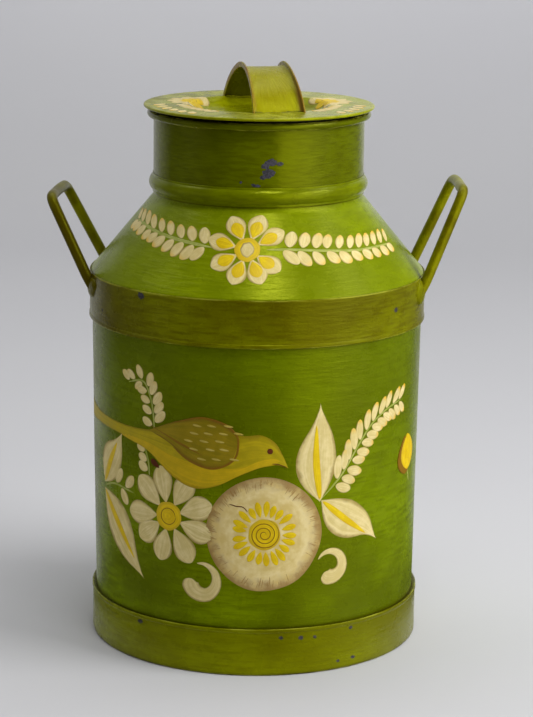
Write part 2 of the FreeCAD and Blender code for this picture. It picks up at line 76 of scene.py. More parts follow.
GAUGE = 0.6                   # tinplate
BAND_GAUGE = 0.9              # foot band and hoop
HEM = 3.2                     # height of the bands' folded edges
HEM_PROUD = 0.5               # how far those edges stand out from the bands
BARREL_RADIUS = BARREL_HIGH.x
BARREL_TAPER = 3.2            # how much narrower the barrel is at its foot
BARREL_SEAM, NECK_SEAM = radians(1.8), radians(2.5)     # half widths of the seams
SEAM_PROUD = 0.9
CONE_ANGLE = radians(39.5)
CONE_TURN = 4.0               # radius of the turn from the cone into its skirt
CURL = 2.75                   # radius of the curled mouth
NECK_RADIUS = NECK_HIGH.x - 2 * CURL + GAUGE
LID_RADIUS = LID_HIGH.x
LID_TOP = LID_HIGH.z
LID_CURL = 1.1
DISH_RADIUS = 53.5
DISH_FLOOR = 44.0
DISH_DEPTH = 7.0
STRAP_ARC = 61.5
STRAP_FLANGE = 3.6
STRAP_CREST = STRAP_HIGH.z - STRAP_FLANGE
STRAP_TURN = radians(13.4)
STRAP_SHIFT = 3.2
ROD = 4.0
FOOT_HALF = 42.0              # from the middle of a handle to each of its feet
LEG_TAPER = radians(7.5)
HANDLE_BEND = 8.0
HANDLE_TURN = radians(4.7)
HANDLE_AXIS = HOOP_HIGH.x + 1.1
HANDLE_FOOT = 264.5
HANDLE_KNEE = 277.0
LUMP_MIDDLE = HANDLE_FOOT + 11.5
PAINTED_RADIUS = 125.0        # turns a length round the barrel's decoration into an angle
ROSETTE_RADIUS = 43.6


def dent(azimuth, z):
    """How far the hand-worked sheet wanders in or out of round."""
    slow = sin(2 * azimuth + 0.7) * 0.16 + sin(3 * azimuth - z / 90.0) * 0.10
    quick = sin(7 * azimuth + z / 31.0) * 0.04 + sin(11 * azimuth - z / 17.0) * 0.025
    return slow + quick


def lid_dent(azimuth, _):
    return 0.12 * sin(2 * azimuth + 1.0) + 0.06 * sin(5 * azimuth)


def barrel_radius(z):
    rise = (z - BARREL_LOW.z) / (BARREL_HIGH.z - BARREL_LOW.z)
    return BARREL_RADIUS - BARREL_TAPER * (1 - rise)


def cone_radius(z):
    """Outside of the shoulder's straight slope."""
    return SHOULDER_HIGH.x - (z - HOOP_HIGH.z) * tan(CONE_ANGLE)


# Meshes

def add_object(name, data):
    """An object for a mesh, a light or the camera, put in the scene."""
    made = bpy.data.objects.new(name, data)
    bpy.context.scene.collection.objects.link(made)
    return made


def add_mesh(name, points, faces, material, scale=1.0):
    mesh = bpy.data.meshes.new(name)
    mesh.from_pydata([Vector(p) * scale for p in points], [], faces)
    mesh.validate()
    mesh.materials.append(material)
    return add_object(name, mesh)


def face_outwards(mesh):
    """Turn the faces of every closed shell to the outside."""
    shells = bmesh.new()
    shells.from_mesh(mesh)
    bmesh.ops.recalc_face_normals(shells, faces=shells.faces)
    shells.to_mesh(mesh)
    shells.free()


def new_piece(name, node, points, faces, material, smooth_angle=60.0, body="can",
              slot="green_enamel"):
    """A mesh piece that rides on a CAD body and, if a node is named, stands for it."""
    piece = add_mesh(name, points, faces, material, MM)
    face_outwards(piece.data)
    piece.data.shade_smooth()
    piece.data.set_sharp_from_angle(angle=radians(smooth_angle))
    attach(piece, body)
    if node:
        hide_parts(node)
    return piece


def polar(radius, turn):
    return radius * cos(turn), radius * sin(turn)


def arc(x, z, radius, start, stop, steps):
    """Points along an arc in a section, angles in degrees."""
    turns = [radians(start + (stop - start) * i / steps) for i in range(steps + 1)]
    return [(x + radius * cos(a), z + radius * sin(a)) for a in turns]


def azimuths(count, seam=None):
    """Azimuths round the can, with extra ones at the edges of a seam at the back."""
    turns = [FRONT + 2 * pi * i / count for i in range(count)]
    if seam is not None:
        edge = radians(0.12)
        turns = [a for a in turns if abs(a - BACK) > seam + 2 * edge]
        for side in (-1, 1):
            turns += [BACK + side * (seam - edge), BACK + side * (seam + edge)]
        turns.append(BACK)
    return sorted(turns)


def strip(a, b, count, closed=True):
    """Faces between two rows of points whose first indices are a and b."""
    return [(a + k, a + (k + 1) % count, b + (k + 1) % count, b + k)
            for k in range(count if closed else count - 1)]


def skin(rows, sides):
    """Faces of a form made of rings of points, one after another, shut at both ends."""
    faces = [face for i in range(rows - 1) for face in strip(i * sides, (i + 1) * sides, sides)]
    last = (rows - 1) * sides
    return faces + [tuple(range(sides)), tuple(range(last, last + sides))]


def merged(forms):
    """One list of points and one of faces from several separate forms."""
    points, faces = [], []
    for more, sides in forms:
        faces += [tuple(len(points) + k for k in face) for face in sides]
        points += more
    return points, faces


def revolve(name, node, section, material, turns, shape=dent, **riding):
    """Spin a closed section of (radius, height) points about the can's axis.

    shape(azimuth, z) moves each point in or out.
    """
    points = [(*polar(radius + shape(azimuth, z), azimuth), z)
              for azimuth in turns for radius, z in section]
    rows, count = len(turns), len(section)
    faces = [face for i in range(rows)
             for face in strip(i * count, (i + 1) % rows * count, count)]
    return new_piece(name, node, points, faces, material, 40.0, **riding)


def steps_between(a, b, count):
    return [(a[0] + (b[0] - a[0]) * i / count, a[1] + (b[1] - a[1]) * i / count)
            for i in range(count + 1)]


def smooth_path(controls, count):
    """Catmull-Rom points through control points of any dimension."""
    p = [np.array(c, float) for c in controls]
    p = [2 * p[0] - p[1]] + p + [2 * p[-1] - p[-2]]
    out = []
    for i in range(count + 1):
        along = i / count * (len(p) - 3)
        k = min(int(along), len(p) - 4)
        f = along - k
        a, b, c, d = p[k:k + 4]
        out.append(0.5 * (2 * b + (c - a) * f + (2 * a - 5 * b + 4 * c - d) * f ** 2
                          + (3 * b - a - 3 * c + d) * f ** 3))
    return out


def even_path(controls, count):
    """Points of a smooth path, the same distance apart."""
    fine = np.array(smooth_path(controls, 400))
    run = np.concatenate([[0.0], np.cumsum(np.hypot(*np.diff(fine, axis=0).T))])
    marks = np.linspace(0.0, run[-1], count + 1)
    return np.column_stack([np.interp(marks, run, column) for column in fine.T])


# Node materials

def srgb(red, green, blue):
    """A display colour, 0 to 255, as the linear colour that nodes use."""
    def linear(c):
        c /= 255.0
        return c / 12.92 if c <= 0.04045 else ((c + 0.055) / 1.055) ** 2.4
    return (linear(red), linear(green), linear(blue), 1.0)


class Nodes:
    """Short ways to add and join the nodes of one material, or of the world."""

    def __init__(self, owner, shader="ShaderNodeBsdfPrincipled", output="ShaderNodeOutputMaterial"):
        owner.use_nodes = True
        self.owner, self.tree = owner, owner.node_tree
        self.tree.nodes.clear()
        self.shader, self.output = self.add(shader), self.add(output)
        self.join(self.shader.outputs[0], self.output.inputs[0])

    def add(self, kind, **settings):
        node = self.tree.nodes.new(kind)
        for key, value in settings.items():
            setattr(node, key, value)
        return node

    def join(self, source, target):
        self.tree.links.new(source, target)

    def feed(self, target, value):
        """Set an input to a number or colour, or join an output to it."""
        if isinstance(value, bpy.types.NodeSocket):
            self.join(value, target)
        elif value is not None:
            target.default_value = value

    def put(self, node, **values):
        """Feed a node's inputs by name, each space written as an underscore."""
        for key, value in values.items():
            self.feed(node.inputs[key.replace("_", " ")], value)
        return node

    def made(self, **values):
        """Feed the shader and give back the material or world."""
        self.put(self.shader, **values)
        return self.owner

    def in_order(self, node, *values):
        """Feed a node's inputs in order and give its first output."""
        for socket, value in zip(node.inputs, values):
            self.feed(socket, value)
        return node.outputs[0]

    def math(self, operation, *values):
        return self.in_order(self.add("ShaderNodeMath", operation=operation), *values)

    def times(self, a, b):
        return self.math("MULTIPLY", a, b)

    def plus(self, a, b):
        return self.math("ADD", a, b)

    def minus(self, a, b):
        return self.math("SUBTRACT", a, b)

    def hypot(self, a, b):
        return self.math("SQRT", self.plus(self.times(a, a), self.times(b, b)))

    def scaled(self, values, factors):
        """A vector of three values, each times its own factor."""
        return self.in_order(self.add("ShaderNodeCombineXYZ"),
                             *[self.times(value, factor) for value, factor in zip(values, factors)])

    def separate(self, vector):
        return self.put(self.add("ShaderNodeSeparateXYZ"), Vector=vector).outputs

    def place(self):
        """Place on the object at rest, in metres."""
        return self.add("ShaderNodeTexCoord").outputs["Object"]

    def noise(self, vector, scale, detail=3.0, rough=0.55):
        return self.put(self.add("ShaderNodeTexNoise"), Vector=vector, Scale=scale, Detail=detail,
                        Roughness=rough).outputs["Fac"]

    def cells(self, vector, scale):
        """Distance from the nearest of some scattered points, and a chance value for its cell."""
        node = self.put(self.add("ShaderNodeTexVoronoi", feature="F1"), Vector=vector, Scale=scale)
        return node.outputs["Distance"], self.separate(node.outputs["Color"])[0]

    def ramp(self, value, low, high, to_low=0.0, to_high=1.0):
        node = self.add("ShaderNodeMapRange", interpolation_type="SMOOTHSTEP")
        return self.in_order(node, value, low, high, to_low, to_high)

    def mix(self, share, a, b):
        node = self.add("ShaderNodeMix", data_type="RGBA")
        return self.put(node, Factor=share, A=a, B=b).outputs["Result"]

    def bump(self, height, strength, distance, under=None):
        return self.put(self.add("ShaderNodeBump"), Strength=strength, Distance=distance,
                        Height=height, Normal=under).outputs[0]


def material_nodes(name):
    return Nodes(bpy.data.materials.new(name))


def round_the_can(n, place):
    """Coordinates that run round the can and up it, joined at the back."""
    x, y, z = n.separate(place)
    return n.math("ARCTAN2", x, n.times(y, -1.0)), n.hypot(x, y), z


def hem_wear_and_sheen(n, base, z, brushed, heights):
    """Pale broken lines at the hems at these heights: rubbed paint with a painted sheen along each
    edge.
    """
    wear_and_sheen = 0.0
    for height in heights:
        near = n.math("ABSOLUTE", n.minus(z, height * MM))
        line = n.ramp(near, 0.0002, 0.0011, 1.0, 0.0)
        patchy = n.ramp(n.noise(brushed, 0.8, 2.0), 0.42, 0.62)
        wear_and_sheen = n.math("MAXIMUM", wear_and_sheen, n.times(line, patchy))
    # rubbed paint and painted highlight along the hem edges
    return n.mix(n.times(wear_and_sheen, 0.55), base, srgb(176, 178, 60))


def worn_and_shaded_strap(n, base, place, mottle, half):
    """Brown rubbed edges on the strap, this far from its middle, and painted shade on the underside
    of its arch.
    """
    x, y, z = n.separate(place)
    across = n.plus(n.times(x, cos(STRAP_TURN)), n.times(y, sin(STRAP_TURN)))
    away = n.math("ABSOLUTE", n.minus(across, STRAP_SHIFT * MM))
    rubbed = n.ramp(away, (half - 3.2) * MM, half * MM)
    rubbed = n.times(rubbed, n.ramp(mottle, 0.36, 0.56, 0.25, 0.9))
    base = n.mix(rubbed, base, srgb(132, 92, 40))
    along = n.minus(n.times(y, cos(STRAP_TURN)), n.times(x, sin(STRAP_TURN)))
    arc_radius = n.hypot(along, n.minus(z, (STRAP_CREST - STRAP_ARC) * MM))
    # painted shade: the underside of the arch is darkened
    inside = n.ramp(arc_radius, (STRAP_ARC - 0.7) * MM, (STRAP_ARC - 0.45) * MM, 0.8, 0.0)
    return n.mix(inside, base, srgb(38, 42, 4))


def enamel(name, colour, shade, streaks=(7.0, 420.0), wear_and_sheen_heights=(), gloss=0.22,
           shade_upwards=0.0, worn_sides=None, crevice_shade_and_grime=0.80):
    """Gloss paint brushed round sheet metal: streaks, slow colour drift, grime and painted shade in
    crevices, painted shade darker up the part, specks, wear and a painted sheen at hems.
    """
    n = material_nodes(name)
    place = n.place()
    turn, radius, z = round_the_can(n, place)
    brushed = n.scaled((turn, radius, z), (streaks[0], 60.0, streaks[1]))
    streak = n.noise(brushed, 1.0, 4.0, 0.6)
    cloud = n.noise(place, 11.0)
    mottle = n.noise(place, 55.0, 4.0, 0.65)
    base = n.mix(n.ramp(cloud, 0.32, 0.68), colour, shade)
    base = n.mix(n.ramp(streak, 0.40, 0.66, 0.0, 0.60), base, shade)
    # painted shade: the paint is darker towards the top of the part and lighter low down
    base = n.mix(n.ramp(z, 0.04, 0.24, 0.0, shade_upwards), base, shade)
    base = n.mix(n.ramp(mottle, 0.60, 0.80, 0.0, 0.24), base, srgb(74, 66, 0))
    # painted shade with grime: ambient occlusion darkens crevices and the joins between parts
    crevice = n.put(n.add("ShaderNodeAmbientOcclusion", samples=6), Distance=0.007).outputs["AO"]
    base = n.mix(n.ramp(crevice, 0.30, 0.85, crevice_shade_and_grime, 0.0), base, srgb(52, 42, 0))
    base = hem_wear_and_sheen(n, base, z, brushed, wear_and_sheen_heights)
    if worn_sides is not None:
        base = worn_and_shaded_strap(n, base, place, mottle, worn_sides)
    distance, chance = n.cells(place, 58.0)
    edge = n.plus(distance, n.times(n.minus(mottle, 0.5), 0.22))
    speck = n.times(n.ramp(edge, 0.035, 0.055, 1.0, 0.0), n.ramp(chance, 0.955, 0.97))
    base = n.mix(speck, base, srgb(52, 48, 30))
    rough = n.plus(n.ramp(mottle, 0.3, 0.75, gloss, gloss + 0.14), n.times(speck, 0.3))
    normal = n.bump(n.minus(streak, n.times(speck, 1.5)), 0.80, 0.0005)
    normal = n.bump(n.noise(place, 420.0, 2.0), 0.10, 0.0002, under=normal)
    normal = n.bump(cloud, 0.30, 0.004, under=normal)
    return n.made(Base_Color=base, Roughness=rough, Normal=normal,
                  Specular_Tint=(0.88, 0.95, 0.03, 1.0))


def tinned(name, colour, darker, rough, shaded_above=None):
    """Dull tinned sheet with a faint crystal spangle and stains, with painted shade, nearly black,
    above a height.
    """
    n = material_nodes(name)
    place = n.place()
    turn, radius, z = round_the_can(n, place)
    _, spangle = n.cells(place, 160.0)
    stain = n.noise(place, 26.0, 5.0, 0.6)
    drawn = n.noise(n.scaled((turn, radius, z), (3.0, 300.0, 420.0)), 1.0)
    base = n.mix(n.ramp(stain, 0.35, 0.7), colour, darker)
    base = n.mix(n.times(spangle, 0.16), base, darker)
    # painted shade: near black above this height, where the skirt shows in the gap under the lid's
    # brim
    if shaded_above is not None:
        ragged, low = n.plus(z, n.times(stain, 0.006)), shaded_above * MM
        base = n.mix(n.ramp(ragged, low - 0.004, low + 0.004), base, srgb(26, 22, 12))
    return n.made(Base_Color=base, Metallic=0.85, Normal=n.bump(drawn, 0.25, 0.0002),
                  Roughness=n.ramp(stain, 0.3, 0.7, rough, rough + 0.18))


def bare_chip(name):
    """The dark primer and grey metal where paint has flaked off."""
    n = material_nodes(name)
    rust = n.noise(n.place(), 700.0, 4.0, 0.6)
    base = n.mix(n.ramp(rust, 0.40, 0.62), srgb(26, 24, 32), srgb(66, 62, 72))
    return n.made(Base_Color=base, Roughness=n.ramp(rust, 0.3, 0.7, 0.5, 0.75),
                  Normal=n.bump(rust, 0.5, 0.0002))


def brushwork(name, colour, thin, outline, tip=None, grain=7.0):
    """Paint laid on in strokes.

    Each stroke carries its own coordinates: along it from 0 to 1, across it from -1 to 1, and
    how strongly its tip is coloured; its tone shifts every stroke a little from its neighbours.
    """
    n = material_nodes(name)
    stroke = n.add("ShaderNodeAttribute", attribute_name="stroke").outputs["Vector"]
    tone = n.add("ShaderNodeAttribute", attribute_name="tone").outputs["Fac"]
    along, across, tipped = n.separate(stroke)
    hairs = n.noise(n.scaled((across, along, tone), (grain, 1.3, 31.0)), 1.0, 4.0, 0.6)
    patches = n.noise(n.place(), 130.0, 4.0, 0.6)
    cover = n.plus(n.times(hairs, 0.55), n.times(patches, 0.45))
    base = n.mix(n.ramp(cover, 0.40, 0.64), thin, colour)
    base = n.mix(n.times(tone, 0.22), base, thin)
    if tip is not None:
        reached = n.ramp(n.plus(along, n.times(hairs, 0.25)), 0.72, 0.98)
        base = n.mix(n.times(reached, tipped), base, tip)
    edge = n.plus(n.math("ABSOLUTE", across), n.times(n.minus(patches, 0.5), 0.5))
    base = n.mix(n.ramp(edge, 0.74, 1.02, 0.0, 0.8), base, outline)
    return n.made(Base_Color=base, Roughness=n.ramp(patches, 0.3, 0.7, 0.36, 0.54),
                  Normal=n.bump(hairs, 0.30, 0.0003), Specular_Tint=(1.0, 0.92, 0.35, 1.0))


def green_paints():
    """The can's own paint, one finish for each part so that its hems wear in the right places. Each
    part's green is also set lighter or darker as painted light and shade.
    """
    brown = (82, 74, 0)
    # painted light and shade: the strap and lid are lightest and the neck darkest, as the light falls
    # on them
    finishes = {
        "barrel": ((124, 144, 0), (86, 98, 0), dict(shade_upwards=0.62)),
        "foot_band": ((130, 136, 0), (102, 102, 0), dict(wear_and_sheen_heights=(FOOT_HIGH.z, 0.4))),
        "hoop": ((118, 120, 0), brown, dict(crevice_shade_and_grime=0.5, wear_and_sheen_heights=(HOOP_HIGH.z, HOOP_LOW.z))),
        "shoulder": ((132, 148, 2), (106, 120, 0), {}),
        "neck": ((96, 106, 0), (74, 78, 0),
                 dict(gloss=0.14, wear_and_sheen_heights=(NECK_HIGH.z, NECK_HIGH.z - 2 * CURL))),
        "collar": ((118, 130, 0), (88, 96, 0), dict(gloss=0.14)),
        "handle": ((138, 138, 2), (78, 66, 2), dict(streaks=(22.0, 60.0), gloss=0.30, crevice_shade_and_grime=0.6)),
        "painted_solder": ((126, 130, 2), brown, dict(streaks=(60.0, 60.0), crevice_shade_and_grime=0.4)),
        "lid": ((152, 158, 2), (118, 118, 0), dict(wear_and_sheen_heights=(LID_TOP,))),
        "strap": ((176, 176, 0), (134, 126, 0),
                  dict(streaks=(30.0, 60.0), wear_and_sheen_heights=(STRAP_HIGH.z,), worn_sides=17.5)),
    }
    return {key: enamel(f"{key}_enamel", srgb(*colour), srgb(*shade), **rest)
            for key, (colour, shade, rest) in finishes.items()}


# Barrel, bands, shoulder and neck

def with_seam(half_angle, proud, low, high):
    """The can's own dents, plus a flat seam that stands proud down the back."""
    def shape(azimuth, z):
        away = abs((azimuth - BACK + pi) % (2 * pi) - pi)
        ends = min(max((z - low) / 1.5, 0.0), 1.0) * min(max((high - z) / 1.5, 0.0), 1.0)
        return dent(azimuth, z) + (proud * ends if away < half_angle else 0.0)
    return shape


def walled(outside):
    """A closed section from the outside of a sheet, with its inside a gauge further in."""
    return outside + [(r - GAUGE, z) for r, z in reversed(outside)]


def barrel(paint):
    top_of_seam, foot_of_seam = HOOP_LOW.z - 0.5, FOOT_HIGH.z + 0.5
    heights = sorted({BARREL_LOW.z, BARREL_HIGH.z, foot_of_seam, foot_of_seam + 1.5,
                      top_of_seam - 1.5, top_of_seam,
                      *[foot_of_seam + 8.0 * i for i in range(1, 27)]})
    revolve("barrel", "body_shell", walled([(barrel_radius(z), z) for z in heights]), paint,
            azimuths(240, BARREL_SEAM), with_seam(BARREL_SEAM, SEAM_PROUD, foot_of_seam, top_of_seam))


def foot(paint):
    """Strip round the bottom, turned in underneath, its folded top edge bedded in paint."""
    radius, inside = FOOT_HIGH.x - HEM_PROUD, FOOT_HIGH.x - HEM_PROUD - BAND_GAUGE
    flange = FOOT_HIGH.x - 8.8
    top, hem = FOOT_HIGH.z, FOOT_HIGH.z - HEM
    bedded = top - 1.2
    filled = barrel_radius(bedded) + 0.05
    section = [(flange, 0.0), (flange, BAND_GAUGE), (inside, BAND_GAUGE), (inside, hem - 2),
               (filled, hem), (filled, bedded)]
    section += arc(radius, top - 0.5, 0.5, 130, 0, 6)
    section += [(radius + 0.5, hem + 0.9), (radius + 0.28, hem + 0.3), (radius, hem)]
    section += steps_between((radius, hem - 2), (radius, 3.0), 8)
    section += arc(radius - 1.6, 1.6, 1.6, 0, -90, 6)
    revolve("foot_band_piece", "foot_band", section, paint, azimuths(240))


def hoop(paint):
    """Band that covers the joint of barrel and shoulder, its bottom edge folded under."""
    radius, inside = HOOP_HIGH.x - HEM_PROUD, HOOP_HIGH.x - HEM_PROUD - BAND_GAUGE
    low, top = HOOP_LOW.z, HOOP_HIGH.z
    hem = low + HEM
    section = [(inside, low + 0.4), (inside, top)]
    section += [(inside + 0.2, top + 0.12), (radius - 0.2, top + 0.12), (radius, top - 0.15)]
    section += steps_between((radius, top - 1.5), (radius, hem + 2), 8)
    section += [(radius, hem), (radius + 0.28, hem - 0.25), (HOOP_HIGH.x, hem - 0.8)]
    section += arc(HOOP_HIGH.x - 0.6, low + 0.6, 0.6, 0, -150, 6)
    revolve("hoop_piece", "upper_hoop", section, paint, azimuths(240))


def shoulder(paint):
    """Cone with a rounded turn at its foot, a skirt inside the hoop and a collar in the neck."""
    skirt, collar = SHOULDER_HIGH.x, NECK_RADIUS - GAUGE - 0.05
    start = HOOP_HIGH.z - CONE_TURN * tan(CONE_ANGLE / 2)
    collar_foot = HOOP_HIGH.z + (skirt - collar) / tan(CONE_ANGLE)
    outside = [(skirt, SHOULDER_LOW.z), (skirt, start - 3)]
    outside += arc(skirt - CONE_TURN, start, CONE_TURN, 0, degrees(CONE_ANGLE), 8)
    outside += steps_between(outside[-1], (collar, collar_foot), 16)[1:]
    outside += [(collar, collar_foot + 4), (collar, SHOULDER_HIGH.z)]
    revolve("shoulder_piece", "shoulder", walled(outside), paint, azimuths(240))


def neck(paint):
    """Tube with a curled mouth and a lapped seam at the back."""
    inside = NECK_RADIUS - GAUGE
    curl_centre, curl_height = inside + CURL, NECK_HIGH.z - CURL
    under = acos((NECK_RADIUS - curl_centre) / CURL)
    meets = curl_height - CURL * sin(under)
    section = [(NECK_RADIUS, NECK_LOW.z), (NECK_RADIUS, COLLAR_HIGH.z)]
    section += steps_between((NECK_RADIUS, COLLAR_HIGH.z + 1.5), (NECK_RADIUS, meets - 1.5), 8)
    section += arc(curl_centre, curl_height, CURL, -degrees(under), 180, 26)
    section += steps_between((inside, curl_height - 2), (inside, NECK_LOW.z), 6)
    revolve("neck_piece", "neck_tube", section, paint, azimuths(216, NECK_SEAM),
            with_seam(NECK_SEAM, GAUGE, COLLAR_HIGH.z, meets - 0.5))


def collar(paint):
    """Swaged bead round the neck's foot with a flat lip above and below."""
    inner, outer = NECK_RADIUS + 0.02, NECK_RADIUS + 0.65
    low, high, lip = COLLAR_LOW.z, COLLAR_HIGH.z, 1.6
    half = (high - low) / 2 - lip
    bulge = COLLAR_HIGH.x - outer
    sweep = (half * half + bulge * bulge) / (2 * bulge)
    spread = degrees(asin(half / sweep))
    section = [(inner, low), (outer - 0.2, low), (outer, low + 0.2), (outer, low + lip - 0.4)]
    section += arc(outer + bulge - sweep, (low + high) / 2, sweep, -spread, spread, 18)
    section += [(outer, high - lip + 0.4), (outer, high - 0.2), (outer - 0.2, high), (inner, high)]
    revolve("neck_bead", "neck_collar", section, paint, azimuths(216))


# Handles

def tube(path, outs, sizes, sides=18):
    """Points and faces of a rod swept along a path, shut at its ends.

    outs says which way is out at each point; sizes are its half sizes outwards and sideways.
    """
    points = []
    last = len(path) - 1
    for i, (spot, out, size) in enumerate(zip(path, outs, sizes)):
        tangent = (path[min(i + 1, last)] - path[max(i - 1, 0)]).normalized()
        out = (out - tangent * out.dot(tangent)).normalized()
        side = tangent.cross(out)
        for k in range(sides):
            turn = 2 * pi * k / sides
            points.append(spot + out * size[0] * cos(turn) + side * size[1] * sin(turn))
    return points, skin(len(path), sides)


def half_loop(leg):
    """One side of a handle in its own leaning plane: a leg that draws in, a bend, half the grip."""
    grip_half = FOOT_HALF - leg * tan(LEG_TAPER)
    set_back = HANDLE_BEND * tan((pi / 2 - LEG_TAPER) / 2)
    bend_start = (-grip_half - set_back * sin(LEG_TAPER), leg - set_back * cos(LEG_TAPER))
    bend = arc(set_back - grip_half, leg - HANDLE_BEND, HANDLE_BEND, 180 - degrees(LEG_TAPER), 90, 10)
    return [(-FOOT_HALF, 5.0), bend_start] + bend[1:] + [(0.0, leg)]


def evenly(path, step):
    """Points a fixed step apart along a path of straight pieces."""
    spots, ahead = [path[0]], step
    for a, b in zip(path, path[1:]):
        length = (b - a).length
        while ahead < length:
            spots.append(a.lerp(b, ahead / length))
            ahead += step
        ahead -= length
    return spots + [path[-1]]


def soften(path, passes):
    """Round off the corners of an evenly spaced path."""
    for _ in range(passes):
        inner = [(a + b * 2 + c) / 4 for a, b, c in zip(path, path[1:], path[2:])]
        path = [path[0]] + inner + [path[-1]]
    return path


def handle_path(high, side, lean):
    """Middle line of a handle: two toes down in the solder and a leaning loop between them."""
    foot_x = sqrt(HANDLE_AXIS ** 2 - FOOT_HALF ** 2)
    loop = half_loop((high - ROD - HANDLE_KNEE) / cos(lean))
    loop += [(-across, up) for across, up in reversed(loop[:-1])]
    toe = [Vector((side * (foot_x - 3.6), 0, HANDLE_FOOT + 5.5)),
           Vector((side * (foot_x - 1.9), 0, HANDLE_FOOT + 10.0))]
    apart = Vector((0, FOOT_HALF, 0))
    path = [spot - apart for spot in toe]
    path += [Vector((side * (foot_x + up * sin(lean)), across, HANDLE_KNEE + up * cos(lean)))
             for across, up in loop]
    path += [spot + apart for spot in reversed(toe)]
    return soften(evenly(path, 1.2), 10)


def handle(name, node, side, lean, paint):
    """Rod bent to a three-sided loop, its ends flattened a little where the solder holds them."""
    _, high = reach(node)
    turn = Matrix.Rotation(side * HANDLE_TURN, 3, "Z")
    spots, outs, sizes = [], [], []
    for spot in handle_path(high.z, side, lean):
        flat = min(max((HANDLE_KNEE - spot.z) / (HANDLE_KNEE - HANDLE_FOOT), 0.0), 1.0)
        wave = Vector((0.3 * sin(spot.y / 9.0 + side), 0, 0.2 * sin(spot.y / 7.0)))
        spots.append(turn @ (spot + wave * (1 - flat)))
        outs.append(turn @ Vector((side * cos(lean), 0, -sin(lean) * (1 - flat))))
        sizes.append((ROD - 0.6 * flat, ROD + 0.8 * flat))
    new_piece(name, node, *tube(spots, outs, sizes), paint)


def solder_lump(azimuth, draw):
    """A sagging, drippy lump round a handle's foot, as points and faces."""
    points = []
    rows, sides = 9, 28
    radius = HOOP_HIGH.x - HEM_PROUD
    rough = [draw.uniform(-1, 1) for _ in range(6)]
    for i in range(rows + 1):
        rise = i / rows * pi / 2
        spread = cos(rise)
        for k in range(sides):
            turn = 2 * pi * k / sides
            edge = 1 + 0.13 * sum(rough[m] * sin((m + 1) * turn + m) for m in range(4))
            wide = 12.5 * edge * spread
            tall = (8.5 * edge + 2.2 * max(0.0, -sin(turn)) ** 3) * spread
            height = 3.9 * sin(rise) + 0.4 * rough[4] * sin(3 * turn) * spread
            z = min(LUMP_MIDDLE + tall * sin(turn), HOOP_HIGH.z - 0.6)
            points.append((*polar(radius - 0.4 + height, azimuth + wide * cos(turn) / radius), z))
    return points, skin(rows + 1, sides)


def handle_solder(paint):
    draw = random.Random(5)
    swing = asin(FOOT_HALF / HANDLE_AXIS)
    right, left = HANDLE_TURN, pi - HANDLE_TURN
    lumps = [solder_lump(azimuth, draw)
             for azimuth in (right + swing, right - swing, left - swing, left + swing)]
    new_piece("handle_foot_solder", "handle_solder", *merged(lumps), paint, 70,
              slot="painted_solder")


# Lid

def lid_height(radius):
    """Height of the lid's upper side, with the dish's rounded turns."""
    share = min(max((DISH_RADIUS - radius) / (DISH_RADIUS - DISH_FLOOR), 0.0), 1.0)
    eased = share * share * (3 - 2 * share)
    return LID_TOP - DISH_DEPTH * (0.5 * share + 0.5 * eased)


def lid_pan(paint):
    """Flat brim with a curled edge round a sloping dish with a level floor."""
    radii = (0.0, 6, 14, 22, 30, 36, 40, 42.5, 44, 45.5, 47, 49, 51, 52.5, 53.5, 55, 58, 63, 69,
             75, 80, 83)
    top = [(r, lid_height(r)) for r in radii]
    section = top[1:] + arc(LID_RADIUS - LID_CURL, LID_TOP - LID_CURL, LID_CURL, 90, -150, 14)
    section += [(83.2, LID_TOP - GAUGE - 0.3)] + [(r, z - GAUGE) for r, z in reversed(top[1:])]
    centre, sides, rows = top[0][1], 216, len(section)
    points = [(0, 0, centre), (0, 0, centre - GAUGE)]
    points += [(*polar(radius + lid_dent(azimuth, z), azimuth), z)
               for azimuth in azimuths(sides) for radius, z in section]
    faces = []
    for i in range(sides):
        a, b = 2 + i * rows, 2 + (i + 1) % sides * rows
        faces += [(0, a, b), *strip(a, b, rows, closed=False), (a + rows - 1, 1, b + rows - 1)]
    new_piece("lid_dish", "lid_pan", points, faces, paint, 40, "lid")


def plug(material):
    """Skirt that goes down into the neck, with a flange under the brim and a stop bead."""
    wall, brim = NECK_RADIUS - GAUGE - 0.5, 83.0
    low, high = SKIRT_LOW.z, LID_TOP - GAUGE - 0.05
    under = high - GAUGE
    section = [(wall - 1.0 - GAUGE, low)]
    section += arc(wall - 1.0 - GAUGE / 2, low, GAUGE / 2, 180, 360, 4)[1:]
    section += steps_between((wall - 0.9, low + 4), (wall, under - 0.6), 7) + [(wall + 1.4, under)]
    section += arc(wall + 2.6, NECK_HIGH.z + 1.55, 1.5, 150, 390, 12)
    section += [(brim, under), (brim, high), (wall - GAUGE, high)]
    revolve("lid_plug", "lid_skirt", section, material, azimuths(180), lid_dent, body="lid",
            slot="tinplate")


def strap_section():
    """Section of the strap: across as a share of its half width, then in mm, and mm out."""
    web = STRAP_ARC
    side = [(1.0, 0.0, web - 0.35), (1.0, 0.05, web + 0.6), (1.0, 0.15, web + 2.4)]
    hem = [(1.0, -0.6 + 0.75 * cos(a), web + STRAP_FLANGE - 0.75 + 0.75 * sin(a))
           for a in [radians(30 * k) for k in range(0, 7)]]
    inner = [(1.0, -1.15, web + 1.5), (1.0, -1.5, web + 0.6), (1.0, -2.6, web + 0.05)]
    right = side + hem + inner
    top = [(share, 0.0, web - 0.25 * (1 - share * share)) for share in (0.6, 0.3, 0.0, -0.3, -0.6)]
    left = [(-share, -extra, out) for share, extra, out in reversed(right)]
    under = [(share, 0.0, web - 0.8 - 0.25 * (1 - share * share))
             for share in (-0.97, -0.6, -0.3, 0.0, 0.3, 0.6, 0.97)]
    return right + top + left + under


